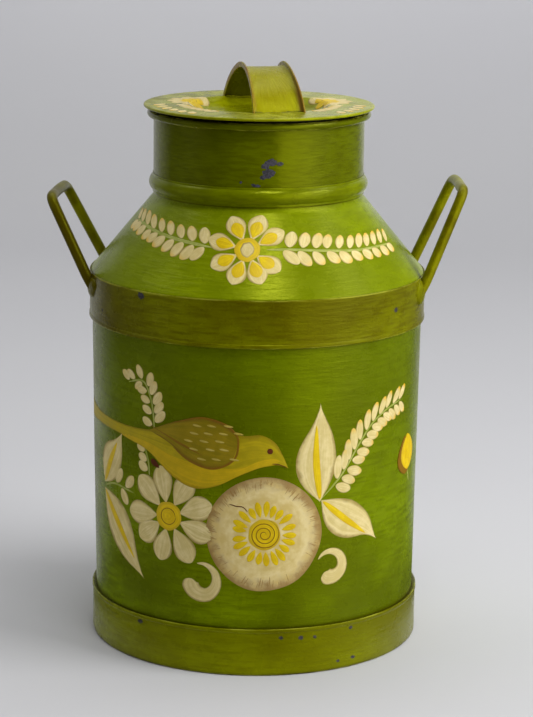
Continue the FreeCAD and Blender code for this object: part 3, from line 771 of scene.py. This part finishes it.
def strap_point(section_point, turn):
    """Place on the strap, in the lid's own turned directions, at an angle along its arch."""
    share, extra, out = section_point
    y = out * sin(turn)
    half_width = 16.9 + 3.2 * (y / 58.0) ** 2
    return STRAP_SHIFT + share * half_width + extra, y, STRAP_CREST - STRAP_ARC + out * cos(turn)


def strap_end(section_point, way):
    """Angle at which one line of the strap meets the lid."""
    near, far = 0.5, 1.4
    for _ in range(40):
        turn = (near + far) / 2
        x, y, z = strap_point(section_point, way * turn)
        if z > lid_height(hypot(x, y)) - 0.4:
            near = turn
        else:
            far = turn
    return way * near


def turned(x, y, z):
    """A point of the lid's strap turned to the angle that the lid sits at."""
    return (x * cos(STRAP_TURN) - y * sin(STRAP_TURN),
            x * sin(STRAP_TURN) + y * cos(STRAP_TURN), z)


def strap(paint):
    """Arched strip, narrower at its crown, with both long edges turned up and hemmed."""
    section, steps = strap_section(), 72
    ends = [(strap_end(p, -1), strap_end(p, 1)) for p in section]
    points = []
    for i in range(steps + 1):
        for p, (first, last) in zip(section, ends):
            turn = first + (last - first) * i / steps
            x, y, z = strap_point(p, turn)
            points.append(turned(x + 0.25 * sin(turn * 5), y, z))
    new_piece("lid_strap_piece", "lid_strap", points, skin(steps + 1, len(section)), paint, 50,
              "lid")


def solder_run(way, side, count=25):
    """An uneven run of solder along one foot of the strap, on one side of it."""
    path, sizes = [], []
    for k in range(count):
        line = (-0.94 + 1.88 * k / (count - 1), 0.0, STRAP_ARC - 0.4)
        x, y, z = strap_point(line, strap_end(line, way))
        path.append(Vector(turned(x, y + way * side * 0.7, z + 0.2)))
        sizes.append((0.9 + 0.25 * sin(k * 0.9 + side) + 0.12 * sin(k * 2.3),) * 2)
    return tube(path, [Vector((0, 0, 1))] * count, sizes, 12)


def strap_solder(paint):
    runs = [solder_run(way, side) for way in (-1, 1) for side in (-1, 1)]
    new_piece("strap_foot_solder", "strap_solder", *merged(runs), paint, 70, "lid",
              "painted_solder")


# Painted decoration

def on_barrel(anchor, dx, dy, lift):
    """Place on the barrel. The anchor is mm round from the front and mm up."""
    z = anchor[1] + dy
    azimuth = FRONT + (anchor[0] + dx) / PAINTED_RADIUS
    return *polar(barrel_radius(z) + dent(azimuth, z) + lift, azimuth), z


def on_cone(anchor, dx, dy, lift):
    """Place on the shoulder. The anchor is degrees round from the front and mm up."""
    z = anchor[1] + dy * cos(CONE_ANGLE)
    azimuth = FRONT + radians(anchor[0]) + dx / cone_radius(z)
    r = cone_radius(z) + dent(azimuth, z) + lift * cos(CONE_ANGLE)
    return *polar(r, azimuth), z + lift * sin(CONE_ANGLE)


def on_band(radius):
    """Place on a straight band or the neck. The anchor is degrees round and mm up."""
    def place(anchor, dx, dy, lift):
        z = anchor[1] + dy
        azimuth = FRONT + radians(anchor[0]) + dx / radius
        return *polar(radius + dent(azimuth, z) + lift, azimuth), z
    return place


def on_brim(anchor, dx, dy, lift):
    """Place on the lid. The anchor is degrees round from the front and mm out from the middle."""
    azimuth = FRONT + radians(anchor[0])
    out = anchor[1] + dy
    x = out * cos(azimuth) - dx * sin(azimuth)
    y = out * sin(azimuth) + dx * cos(azimuth)
    return x, y, lid_height(hypot(x, y)) + lift


def leaf_width(half, widest=0.5, blunt=0.6):
    """Half width along a stroke; a small blunt gives round ends and a large one pointed ends."""
    power = log(0.5) / log(widest)
    return lambda t: max(half * sin(pi * min(max(t, 0.0), 1.0) ** power) ** blunt, 0.05)


def line_width(half, taper=0.15):
    """Half width of a drawn line that thins at both ends."""
    return lambda t: half * min(1.0, 0.25 + t / taper, 0.25 + (1 - t) / taper)


def hook_width(half):
    """Half width of a stroke with a fat round head that thins all the way to its end."""
    return lambda t: half * min(1.0, sqrt(max(t, 0.0) / 0.1)) * (1 - t) ** 0.75 + 0.25


class Coat:
    """Thin closed reliefs of paint on one surface that together make one piece."""

    def __init__(self, surface, lift, thick, seed):
        self.surface, self.lift, self.thick = surface, lift, thick
        self.points, self.faces, self.strokes, self.tones = [], [], [], []
        self.vary = random.Random(seed).uniform

    def add(self, anchor, x, y, lift, stroke):
        self.points.append(self.surface(anchor, x, y, lift))
        self.strokes.append(stroke)

    def sheet(self, anchor, rows, tip=0.0):
        """A sheet of paint from rows of (x, y) points running across a stroke."""
        count, across, first = len(rows), len(rows[0]), len(self.points)
        for i, row in enumerate(rows):
            along = i / (count - 1)
            for k, (x, y) in enumerate(row):
                side = -1 + 2 * k / (across - 1)
                crown = self.thick * (1 - side ** 4) * (1 - (2 * along - 1) ** 8)
                self.add(anchor, x, y, self.lift + crown, (along, side, tip))
        under = len(self.points)
        for i, row in enumerate(rows):
            for k in (0, -1):
                self.add(anchor, *row[k], -0.3, (i / (count - 1), -1 - 2 * k, tip))
        self.tones += [self.vary(0, 1)] * (len(self.points) - first)
        for i in range(count - 1):
            a, b = first + i * across, first + (i + 1) * across
            c, d = under + 2 * i, under + 2 * i + 2
            self.faces += strip(a, b, across, closed=False)
            self.faces += [(c, d, d + 1, c + 1), (a, b, d, c),
                           (a + across - 1, c + 1, d + 1, b + across - 1)]
        last, end = first + (count - 1) * across, len(self.points) - 1
        self.faces.append((*range(first + across - 1, first - 1, -1), under, under + 1))
        self.faces.append((*range(last, last + across), end, end - 1))

    def stroke(self, anchor, path, width, tip=0.0, steps=16, across=6):
        """One brush stroke along a path of control points."""
        ts = [(1 - cos(pi * i / steps)) / 2 for i in range(steps + 1)]
        fine = smooth_path(path, 240)
        spots = [fine[round(t * 240)] for t in ts]
        rows = []
        for i, (t, spot) in enumerate(zip(ts, spots)):
            way = spots[min(i + 1, steps)] - spots[max(i - 1, 0)]
            way /= max(hypot(*way), 1e-9)
            normal = np.array((-way[1], way[0]))
            rows.append([tuple(spot + normal * width(t) * (-1 + 2 * k / across))
                         for k in range(across + 1)])
        self.sheet(anchor, rows, tip)

    def leaf(self, anchor, base, direction, length, half, tip=0.0, widest=0.5, blunt=0.6,
             bend=0.0):
        """A stroke from a base, pointing in a direction given in degrees."""
        a = radians(direction)
        base, ahead, side = np.array([base, (cos(a), sin(a)), (-sin(a), cos(a))], float)
        path = [base, base + ahead * length / 2 + side * bend, base + ahead * length]
        self.stroke(anchor, path, leaf_width(half, widest, blunt), tip)

    def petal(self, anchor, inner, direction, length, half, **form):
        """A leaf that points away from the anchor and starts a little way out from it."""
        self.leaf(anchor, polar(inner, radians(direction)), direction, length, half, **form)

    def between(self, anchor, upper, lower, steps=36, across=14):
        """A patch of paint between two edges that share their ends."""
        self.sheet(anchor, [[tuple(b + (a - b) * k / across) for k in range(across + 1)]
                            for a, b in zip(smooth_path(upper, steps), smooth_path(lower, steps))])

    def disc(self, anchor, radius, ragged=0.0, squash=1.0):
        """A round patch; it carries its radius across and the way round along."""
        rings, sides = 10, 72
        first, tone = len(self.points), self.vary(0, 1)
        wobble = [self.vary(-1, 1) for _ in range(7)]

        def ring(share, lift, count=sides):
            for k in range(count):
                turn = 2 * pi * k / sides
                wave = sum(w * sin((m + 2) * turn + m) for m, w in enumerate(wobble)) / 3
                x, y = polar(radius * (1 + ragged * wave) * share, turn)
                self.add(anchor, x, y * squash, lift, (abs(2 * k / sides - 1), share, 0.0))

        ring(0.0, self.lift + self.thick, 1)
        for i in range(1, rings + 1):
            ring(i / rings, self.lift + self.thick * (1 - (i / rings) ** 6))
        ring(1.0, -0.3)
        ring(0.0, -0.6, 1)
        floor = len(self.points) - 1
        self.tones += [tone] * (len(self.points) - first)
        for i in range(rings):
            row = first + 1 + i * sides
            self.faces += strip(row, row + sides, sides)
        for k in range(sides):
            n = (k + 1) % sides
            self.faces.append((first, first + 1 + k, first + 1 + n))
            self.faces.append((floor - sides + k, floor, floor - sides + n))

    def piece(self, name, material, slot, body):
        mesh = new_piece(name, None, self.points, self.faces, material, 60, body, slot).data
        for key, kind, field, values in (("stroke", "FLOAT_VECTOR", "vector", self.strokes),
                                         ("tone", "FLOAT", "value", self.tones)):
            made = mesh.attributes.new(key, kind, "POINT")
            made.data.foreach_set(field, np.array(values, np.float32).ravel())


def decoration_paints():
    """Brushwork in each colour, as the colour, where it is thin, and its outline."""
    cream, outline = srgb(236, 218, 160), srgb(138, 112, 40)
    paints = {name: brushwork(f"{name}_brushwork", srgb(*colour), srgb(*thin), srgb(*edge))
              for name, colour, thin, edge in (
                  ("stem", (184, 186, 108), (140, 152, 50), (96, 110, 10)),
                  ("yellow", (240, 210, 0), (214, 178, 0), (200, 166, 30)),
                  ("hatch", (150, 108, 56), (176, 142, 84), (150, 108, 56)),
                  ("bird", (186, 164, 0), (162, 146, 0), (128, 108, 0)),
                  ("belly", (212, 176, 0), (186, 158, 0), (150, 124, 0)),
                  ("wing", (156, 132, 4), (132, 116, 0), (118, 88, 6)),
                  ("brown", (128, 84, 10), (140, 100, 12), (116, 74, 10)),
                  ("dash", (206, 186, 96), (176, 154, 56), (150, 126, 30)),
                  ("red", (110, 30, 14), (84, 28, 14), (70, 26, 14)))}
    paints["cream"] = brushwork("cream_brushwork", cream, srgb(212, 192, 124), outline,
                                tip=srgb(224, 176, 4))
    paints["rosette"] = brushwork("rosette_brushwork", cream, srgb(214, 188, 116),
                                  srgb(138, 98, 44), grain=3.0)
    paints.update(bud=paints["yellow"], blush=paints["cream"], chips=bare_chip("bare_chip"))
    return paints


def sprig(coats, anchor, stem, sides, stem_half=0.8):
    """A stem with leaflets down both sides.

    Each side is (way, count, first, last, leans, length, half width, tip strength): leaflets from
    first to last along the stem, leaning away from it by degrees given at both its ends.
    """
    coats["stem"].stroke(anchor, stem, line_width(stem_half), steps=40, across=3)
    leaves, fine = coats["cream"], even_path(stem, 200)
    for way, count, first, last, leans, length, half, tip in sides:
        for i in range(count):
            share = i / max(count - 1, 1)
            k = round((first + (last - first) * share) * 196) + 2
            ahead = fine[k + 2] - fine[k - 2]
            direction = degrees(atan2(ahead[1], ahead[0]))
            direction += way * (leans[0] + (leans[1] - leans[0]) * share)
            direction += leaves.vary(-5, 5)
            size = leaves.vary(0.92, 1.08) * (1 - 0.15 * share)
            leaves.leaf(anchor, fine[k] + polar(1.9, radians(direction)), direction,
                        length * size, half * size, tip * share ** 0.3, widest=0.52, blunt=0.5,
                        bend=leaves.vary(-0.5, 0.5))


def striped_leaf(coats, base, tip, half, bow, stripe_half, lean=0.0):
    """A pointed leaf from base to tip with a yellow stripe up its middle."""
    base, tip = np.array((base, tip), float)
    ahead = tip - base
    side = np.array((-ahead[1], ahead[0])) / max(hypot(*ahead), 1e-9)
    middle = [base, base + ahead * 0.35 + side * bow, base + ahead * 0.7 + side * (bow + lean), tip]
    stripe = [base + ahead * 0.03, base + ahead * 0.4 + side * bow, base + ahead * 0.78 + side * bow]
    coats["cream"].stroke((0, 0), middle, leaf_width(half, 0.38, 1.5), steps=34, across=12)
    coats["yellow"].stroke((0, 0), stripe, leaf_width(stripe_half, 0.4), steps=20, across=5)


def spiral(start, end, turns, steps=64):
    """Points of a spiral from one radius to another."""
    return [polar(start + (end - start) * i / steps, 2 * pi * turns * i / steps)
            for i in range(steps + 1)]


def scroll(cream, anchor, inner, outer, half, start, sweep):
    """A C-shaped scroll that curls out from a thick head to a thin end."""
    path = [polar(inner + (outer - inner) * min(1.0, k / 5), radians(start + sweep * k / 12))
            for k in range(13)]
    cream.stroke(anchor, path, hook_width(half), steps=36, across=6)


def daisy(coats, spot):
    """Nine cream petals round a yellow middle with a brown ring drawn on it."""
    cream = coats["cream"]
    for i in range(9):
        direction = 20 + 40 * i + cream.vary(-4, 4)
        cream.petal(spot, 10.2, direction, 27.5 * cream.vary(0.9, 1.06),
                    9.2 * cream.vary(0.94, 1.05), widest=0.62)
    coats["yellow"].disc(spot, 11.0, ragged=0.04)
    coats["brown"].stroke(spot, spiral(6.0, 6.4, 1.0), line_width(0.3), steps=60, across=2)


def rosette(coats, spot):
    """A big cream disc, hatched at its rim, with yellow rays and a spiral at its middle."""
    yellow, hatch = coats["yellow"], coats["hatch"]
    coats["rosette"].disc(spot, ROSETTE_RADIUS, ragged=0.012)
    for i in range(21):
        direction = 360 / 21 * i + yellow.vary(-3, 3)
        yellow.petal(spot, 13.4, direction, yellow.vary(9.5, 12.5), 2.5, widest=0.6,
                     blunt=0.55)
    yellow.disc(spot, 12.0, ragged=0.03)
    coats["brown"].stroke(spot, spiral(1.2, 11.4, 3.2, 120), line_width(0.34), steps=120, across=2)
    coats["red"].stroke(spot, [(-26, 23), (-21, 21.5), (-16, 21), (-12.5, 17.5)],
                        line_width(0.3), across=2)
    for _ in range(110):
        turn = hatch.vary(0, 2 * pi)
        outer = ROSETTE_RADIUS * hatch.vary(0.90, 0.99)
        path = [polar(outer, turn), polar(outer - hatch.vary(2.0, 7.0), turn + 0.02)]
        hatch.stroke(spot, path, line_width(hatch.vary(0.12, 0.22)), steps=4, across=2)


def barrel_flowers(coats):
    """Daisy, rosette, leaf pairs, sprigs and scrolls on the front of the barrel."""
    daisy(coats, (-64.5, 117.5))
    rosette(coats, (10.0, 109.0))
    sprig(coats, (0, 0), [(53, 134), (70, 151), (85, 172), (98, 186), (114, 194), (133, 198)],
          [(1, 11, 0.16, 0.97, (34, 40), 16.5, 3.7, 1.0),
           (-1, 13, 0.12, 0.98, (66, 52), 13.0, 3.9, 0.8)])
    striped_leaf(coats, (52, 132), (51, 207), 16.0, 3.0, 2.9, lean=-3.0)
    striped_leaf(coats, (53, 133), (106, 95), 14.5, -1.5, 2.6, lean=4.0)
    sprig(coats, (0, 0), [(-77, 178), (-78, 194), (-81, 207), (-88, 217), (-103, 214)],
          [(1, 5, 0.10, 0.72, (62, 62), 10.5, 3.5, 0.3),
           (-1, 8, 0.14, 0.97, (42, 52), 11.5, 3.7, 0.3)])
    sprig(coats, (0, 0), [(-82, 146), (-83, 156), (-86, 166)],
          [(1, 3, 0.12, 0.85, (50, 50), 9.5, 3.8, 0.2)])
    sprig(coats, (0, 0), [(-140, 126), (-122, 131), (-99, 129)],
          [(1, 2, 0.45, 0.75, (52, 52), 15.0, 4.6, 0.2),
           (-1, 1, 0.62, 0.62, (48, 48), 13.0, 4.2, 0.2)])
    striped_leaf(coats, (-141, 128), (-112, 173), 14.5, 1.0, 3.0, lean=-2.0)
    striped_leaf(coats, (-141, 124), (-88, 64), 15.5, 1.5, 3.0, lean=-2.0)
    scroll(coats["cream"], (-38, 72), 8.0, 12.6, 7.4, 180, 282)
    scroll(coats["cream"], (61, 82), 7.8, 11.0, 6.6, 230, 278)


def barrel_bird(coats):
    """A bird facing right over the flowers, its tail running round the side."""
    brown, red, spot = coats["brown"], coats["red"], (0, 0)
    beak = (27, 159.5)
    back = [beak, (23, 169), (17, 179), (7, 184.5), (-6, 184), (-28, 187), (-58, 186),
            (-82, 181), (-112, 180), (-150, 182), (-178, 186)]
    belly = [beak, (17, 162), (5, 159.5), (-10, 153), (-27, 144.5), (-45, 142), (-63, 150),
             (-84, 165), (-112, 171.5), (-150, 173), (-180, 172)]
    coats["bird"].between(spot, back, belly, steps=72, across=18)
    shade = [(a[0], a[1] * 0.42 + b[1] * 0.58) for a, b in zip(back, belly)]
    coats["belly"].between(spot, shade[1:9], belly[1:9], steps=48, across=8)
    over = [(-60, 190), (-38, 195.5), (-20, 192), (-11, 184), (-9.8, 176)]
    coats["wing"].between(spot, [(-82, 181), *over], [(-82, 181), (-64, 174), (-48, 163),
                          (-32, 158), (-17, 162), (-9.8, 176)], steps=40, across=12)
    brown.stroke(spot, [*over, (-12, 167), (-20, 160.5), (-32, 158), (-48, 163), (-60, 171)],
                 line_width(0.75), steps=60, across=2)
    for start, height, count in ((-44, 190, 3), (-47, 184, 4), (-50, 178, 3), (-46, 172, 3),
                                 (-40, 165, 3)):
        for k in range(count):
            x = start + 11.5 * k + brown.vary(-1, 1)
            coats["dash"].leaf(spot, (x, height + 0.6 * k), -8, 7.0, 0.85, widest=0.4)
    for k in range(7):
        x, y = -62 - 3 * k, 178 + 1.1 * k
        brown.stroke(spot, [(x, y), (x + 12, y - 4.5), (x + 26, y - 11)], line_width(0.22),
                     steps=12, across=2)
    red.disc((13.5, 172.5), 2.1)
    red.leaf(spot, (-80, 158.5), -35, 9.0, 2.2, widest=0.35)
    red.stroke(spot, [(26, 160), (20, 162.5), (15, 163)], line_width(0.3), steps=8, across=2)


def side_bud(coats):
    """A yellow bud at the edge of the painted front."""
    spot = (149, 151)
    coats["stem"].stroke(spot, [(6, -22), (2, -12), (1, 0)], line_width(0.9), across=3)
    coats["brown"].leaf(spot, (-3, -14), 96, 30, 13.0, widest=0.42, blunt=0.8)
    coats["bud"].leaf(spot, (0.5, -11), 92, 28, 12.4, widest=0.45, blunt=0.7)


def barrel_picture(coats):
    barrel_flowers(coats)
    barrel_bird(coats)
    side_bud(coats)


def shoulder_flowers(coats):
    """A daisy at the front of the shoulder with a garland of leaflets to each side."""
    spot = (-3.0, 317.0)
    for direction in (31, 72, 116, 165, 211, 252, 293, 325):
        coats["cream"].petal(spot, 8.0, direction, 22.5, 7.5, widest=0.62, blunt=0.66)
        coats["yellow"].petal(spot, 10.5, direction, 14.0, 4.8, widest=0.6)
    coats["yellow"].disc(spot, 9.4, ragged=0.05, squash=1.05)
    coats["blush"].disc(spot, 5.0, ragged=0.08, squash=1.25)
    left = [(-26, 0.6), (-47, 3.2), (-63, 5.2), (-80, 7.6), (-97, 10.2), (-114, 11.5)]
    right = [(14, 0.4), (32, 0.0), (58, -2.4), (87, -5.2), (114, -6.0), (135, -6.8)]
    sprig(coats, spot, left, [(-1, 9, 0.06, 0.97, (75, 42), 13.0, 4.6, 0.9),
                              (1, 10, 0.05, 0.97, (58, 34), 15.5, 4.2, 0.9)], 1.5)
    sprig(coats, spot, right, [(1, 11, 0.13, 0.98, (86, 92), 12.5, 4.8, 0.9),
                               (-1, 10, 0.08, 0.95, (42, 24), 15.5, 4.2, 0.9)], 1.1)


def lid_flowers(coats):
    """A half flower and a spray of leaflets on the brim at each side of the lid."""
    cream, yellow = coats["cream"], coats["yellow"]
    for side, azimuth, out, pairs in ((-1, -104.0, 49.0, 6), (1, 111.0, 51.0, 5)):
        for k in range(6):
            direction = 90 + side * (k - 2.5) * 34
            cream.petal((azimuth, out), 4.0, direction, 19.0, 6.4, widest=0.62)
            yellow.petal((azimuth, out), 4.0, direction, 9.5, 3.0, widest=0.6)
        yellow.disc((azimuth, out), 5.2, ragged=0.06)
        for k in range(pairs):
            for inner in (0, 1):
                swing = side * (22 + 8.0 * k + 3 * inner)
                direction = 90 + side * (90 - 48 * (1 - 2 * inner))
                cream.leaf((azimuth - swing, 71.5 - 8.5 * inner), (0, 0), direction, 11.5, 3.7,
                           tip=0.8, widest=0.52, blunt=0.5)


def flaked(ragged, flakes):
    """Flakes off the paint, each as degrees round, mm up, radius and height over width."""
    def draw(coats):
        for azimuth, z, radius, squash in flakes:
            coats["chips"].disc((azimuth, z), radius, ragged, squash)
    return draw


def lay(group, surface, draw, coats, paints, body="can"):
    """Draw one part's decoration; each coat is (lift, thickness, seed) and makes one piece."""
    coats = {key: Coat(surface, *coat) for key, coat in coats.items()}
    draw(coats)
    slots = {"chips": "tinplate", **dict.fromkeys(("yellow", "bud", "belly"), "yellow_paint"),
             **dict.fromkeys(("cream", "rosette", "dash", "blush"), "cream_paint")}
    for key, coat in coats.items():
        coat.piece(f"{group}_{key}", paints[key], slots.get(key, "olive_paint"), body)


def decorate():
    paints = decoration_paints()
    lay("barrel", on_barrel, barrel_picture, {
        "cream": (0.06, 0.12, 11), "stem": (0.03, 0.06, 12), "rosette": (0.12, 0.10, 13),
        "bird": (0.16, 0.12, 14), "belly": (0.22, 0.12, 15), "wing": (0.30, 0.08, 16),
        "yellow": (0.22, 0.12, 17), "bud": (0.50, 0.08, 18), "dash": (0.42, 0.08, 19),
        "red": (0.40, 0.06, 20), "brown": (0.40, 0.06, 21), "hatch": (0.24, 0.03, 22)}, paints)
    lay("shoulder", on_cone, shoulder_flowers, {
        "cream": (0.10, 0.12, 31), "stem": (0.03, 0.06, 32), "yellow": (0.24, 0.10, 33),
        "blush": (0.36, 0.08, 34)}, paints)
    lay("lid", on_brim, lid_flowers, {"cream": (0.05, 0.12, 41), "yellow": (0.18, 0.10, 42)},
        paints, "lid")
    lay("neck", on_band(NECK_RADIUS), flaked(0.22, (
        (8.0, 377.9, 4.2, 0.62), (12.6, 376.8, 2.6, 0.55), (4.9, 375.3, 3.0, 0.7),
        (6.6, 369.8, 4.6, 0.75), (3.8, 366.9, 2.6, 0.6), (0.3, 360.6, 3.2, 0.3),
        (-1.4, 361.6, 1.6, 0.4), (-8.0, 363.0, 1.0, 1.0))), {"chips": (0.03, 0.02, 51)}, paints)
    lay("hoop", on_band(HOOP_HIGH.x - HEM_PROUD), flaked(0.25, (
        (-40.2, 281.4, 3.0, 0.8), (54.7, 268.8, 2.0, 0.9), (-63.0, 262.0, 1.2, 1.0),
        (118.0, 280.0, 2.4, 0.6), (200.0, 276.0, 2.8, 0.7))), {"chips": (0.03, 0.02, 52)}, paints)
    lay("foot", on_band(FOOT_HIGH.x - HEM_PROUD), flaked(0.25, (
        (-41.2, 30.9, 2.6, 0.6), (10.6, 29.6, 1.6, 0.8), (17.5, 28.7, 1.9, 0.8),
        (22.5, 28.3, 1.3, 0.9), (36.5, 31.0, 1.6, 0.8), (37.7, 7.3, 2.0, 0.6),
        (31.5, 6.7, 1.4, 0.7), (150.0, 9.0, 2.6, 0.5), (231.0, 20.0, 1.8, 0.9))),
        {"chips": (0.03, 0.02, 53)}, paints)


# Scene

def see_through_from_behind(n):
    """Let the back of a one-sided sheet be looked through."""
    back = n.add("ShaderNodeNewGeometry").outputs["Backfacing"]
    clear = n.add("ShaderNodeBsdfTransparent").outputs[0]
    either = n.in_order(n.add("ShaderNodeMixShader"), back, n.shader.outputs[0], clear)
    n.join(either, n.output.inputs[0])


def backdrop():
    """A pale paper sweep, floor and wall behind the can, with painted shade that darkens the floor.
    """
    n = material_nodes("backdrop_paper")
    place = n.place()
    tone = n.ramp(n.noise(place, 1.2, 2.0), 0.3, 0.7)
    paper = n.mix(tone, srgb(226, 226, 230), srgb(222, 222, 227))
    # painted shade: the paper is darker on the floor, lightening up to half a metre up the wall
    low = n.ramp(n.separate(place)[2], 0.0, 0.5, 0.5, 0.0)
    n.made(Base_Color=n.mix(low, paper, srgb(180, 180, 180)), Roughness=0.95,
           Specular_IOR_Level=0.1)
    see_through_from_behind(n)
    section = [(-3.2, 0.0), *arc(1.6, 1.0, 1.0, -90, 0, 15), (2.6, 4.0)]
    points = [(x, y, z - 0.00005) for y, z in section for x in (-4.0, 4.0)]
    faces = [face for i in range(len(section) - 1)
             for face in strip(2 * i, 2 * i + 2, 2, closed=False)]
    sweep = add_mesh("backdrop", points, faces, n.owner)
    sweep.data.shade_smooth()


def reflected_room():
    """A bowl that only mirrors in gloss paint: dim from the left to the front, bright right."""
    n = material_nodes("reflected_room")
    turn, _, z = round_the_can(n, n.place())
    left = n.ramp(turn, -2.3, -1.7, 0.42, 0.0)
    front = n.times(n.ramp(turn, 0.34, 0.42), n.ramp(turn, 0.75, 1.35, 2.3, 0.06))
    back = n.ramp(turn, 2.2, 2.7, 0.0, 0.6)
    right = n.times(front, n.ramp(z, 0.05, 0.30, 0.22, 1.0))
    n.made(Base_Color=(0, 0, 0, 1), Emission_Color=(1, 1, 1, 1), Specular_IOR_Level=0.0,
           Emission_Strength=n.plus(n.plus(left, right), n.plus(back, 0.02)))
    sides, rows = 96, ((0.16, 0.002), (0.5, 0.002), (0.5, 0.62))
    points = [(*polar(r, 2 * pi * k / sides), z) for r, z in rows for k in range(sides)]
    faces = strip(0, sides, sides) + strip(sides, 2 * sides, sides)
    bowl = add_mesh("reflected_room", points, faces, n.owner)
    bowl.visible_camera = bowl.visible_diffuse = False
    bowl.visible_shadow = bowl.visible_transmission = False


def soft_light(name, azimuth, elevation, distance, size, power, target=(0.0, 0.0, 0.25)):
    """A soft box; azimuth is in degrees from the front, towards the can's right."""
    light = bpy.data.lights.new(name, "AREA")
    light.shape = "RECTANGLE"
    light.size, light.size_y = size
    light.energy = power
    lamp = add_object(name, light)
    turn, rise = FRONT + radians(azimuth), radians(elevation)
    away = Vector((*polar(cos(rise), turn), sin(rise)))
    lamp.location = Vector(target) + away * distance
    lamp.rotation_mode = "QUATERNION"
    lamp.rotation_quaternion = (-away).to_track_quat("-Z", "Y")
    lamp.visible_camera = False


def studio():
    """Soft light from the right and from above, and a room that is dim in front."""
    world = bpy.data.worlds.new("studio")
    bpy.context.scene.world = world
    n = Nodes(world, "ShaderNodeBackground", "ShaderNodeOutputWorld")
    _, depth, _ = n.separate(n.add("ShaderNodeTexCoord").outputs["Generated"])
    seen = n.times(n.add("ShaderNodeLightPath").outputs["Is Camera Ray"], 0.6)
    n.made(Color=(1.0, 1.0, 1.0, 1.0),
           Strength=n.math("MAXIMUM", n.ramp(depth, -0.4, 0.6, 0.05, 0.38), seen))
    soft_light("key", 70, 24, 2.0, (1.3, 1.6), 42)
    soft_light("top", 18, 66, 2.0, (0.6, 0.45), 11)
    soft_light("fill", -75, 8, 2.0, (1.4, 0.5), 5.6)
    soft_light("paper", 0, 62, 2.4, (3.4, 1.5), 28, target=(0.0, 1.9, 0.3))


def camera():
    """Camera at the height of a standing viewer, looking a little down at the can."""
    turn, tilt, roll = radians(1.042), radians(12.868), radians(0.6765)
    ahead = Vector((-sin(turn) * cos(tilt), cos(turn) * cos(tilt), -sin(tilt)))
    level = Vector((cos(turn), sin(turn), 0))
    down = ahead.cross(level)
    right = level * cos(roll) - down * sin(roll)
    up = -(level * sin(roll) + down * cos(roll))
    lens = bpy.data.cameras.new("camera")
    lens.lens, lens.sensor_width, lens.clip_end = 129.9, 36.0, 50.0
    holder = add_object("camera", lens)
    turned_to = Matrix((right, up, -ahead)).transposed().to_4x4()
    holder.matrix_world = Matrix.Translation(Vector((43.2, -1947.6, 658.5)) * MM) @ turned_to
    bpy.context.scene.camera = holder


def build_can():
    """Every visible piece, and a finish on the five that stay as the CAD made them."""
    paint = green_paints()
    for make, key in ((barrel, "barrel"), (foot, "foot_band"), (hoop, "hoop"),
                      (shoulder, "shoulder"), (neck, "neck"), (collar, "collar"), (lid_pan, "lid"),
                      (strap, "strap"), (handle_solder, "painted_solder"),
                      (strap_solder, "painted_solder")):
        make(paint[key])
    handle("left_handle_rod", "left_handle", -1, radians(26.7), paint["handle"])
    handle("right_handle_rod", "right_handle", 1, radians(23.0), paint["handle"])
    # the skirt's top is painted near black as shade under the brim
    plug(tinned("stained_and_shaded_tinplate", srgb(150, 146, 132), srgb(96, 88, 66), 0.42,
                shaded_above=LID_TOP - 11))
    tin = tinned("dull_tinplate", srgb(168, 168, 162), srgb(120, 118, 110), 0.38)
    solder = tinned("grey_solder", srgb(150, 150, 150), srgb(108, 108, 106), 0.45)
    wire = tinned("drawn_wire", srgb(150, 146, 138), srgb(104, 96, 84), 0.35)
    for node, metal in (("bottom_pan", tin), ("bottom_solder", solder), ("mouth_wire", wire),
                        ("neck_solder", solder), ("lid_edge_wire", wire)):
        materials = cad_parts[node].data.materials
        materials.clear()
        materials.append(metal)


build_can()
decorate()
backdrop()
reflected_room()
studio()
camera()
bpy.context.scene.view_settings.view_transform = "Standard"
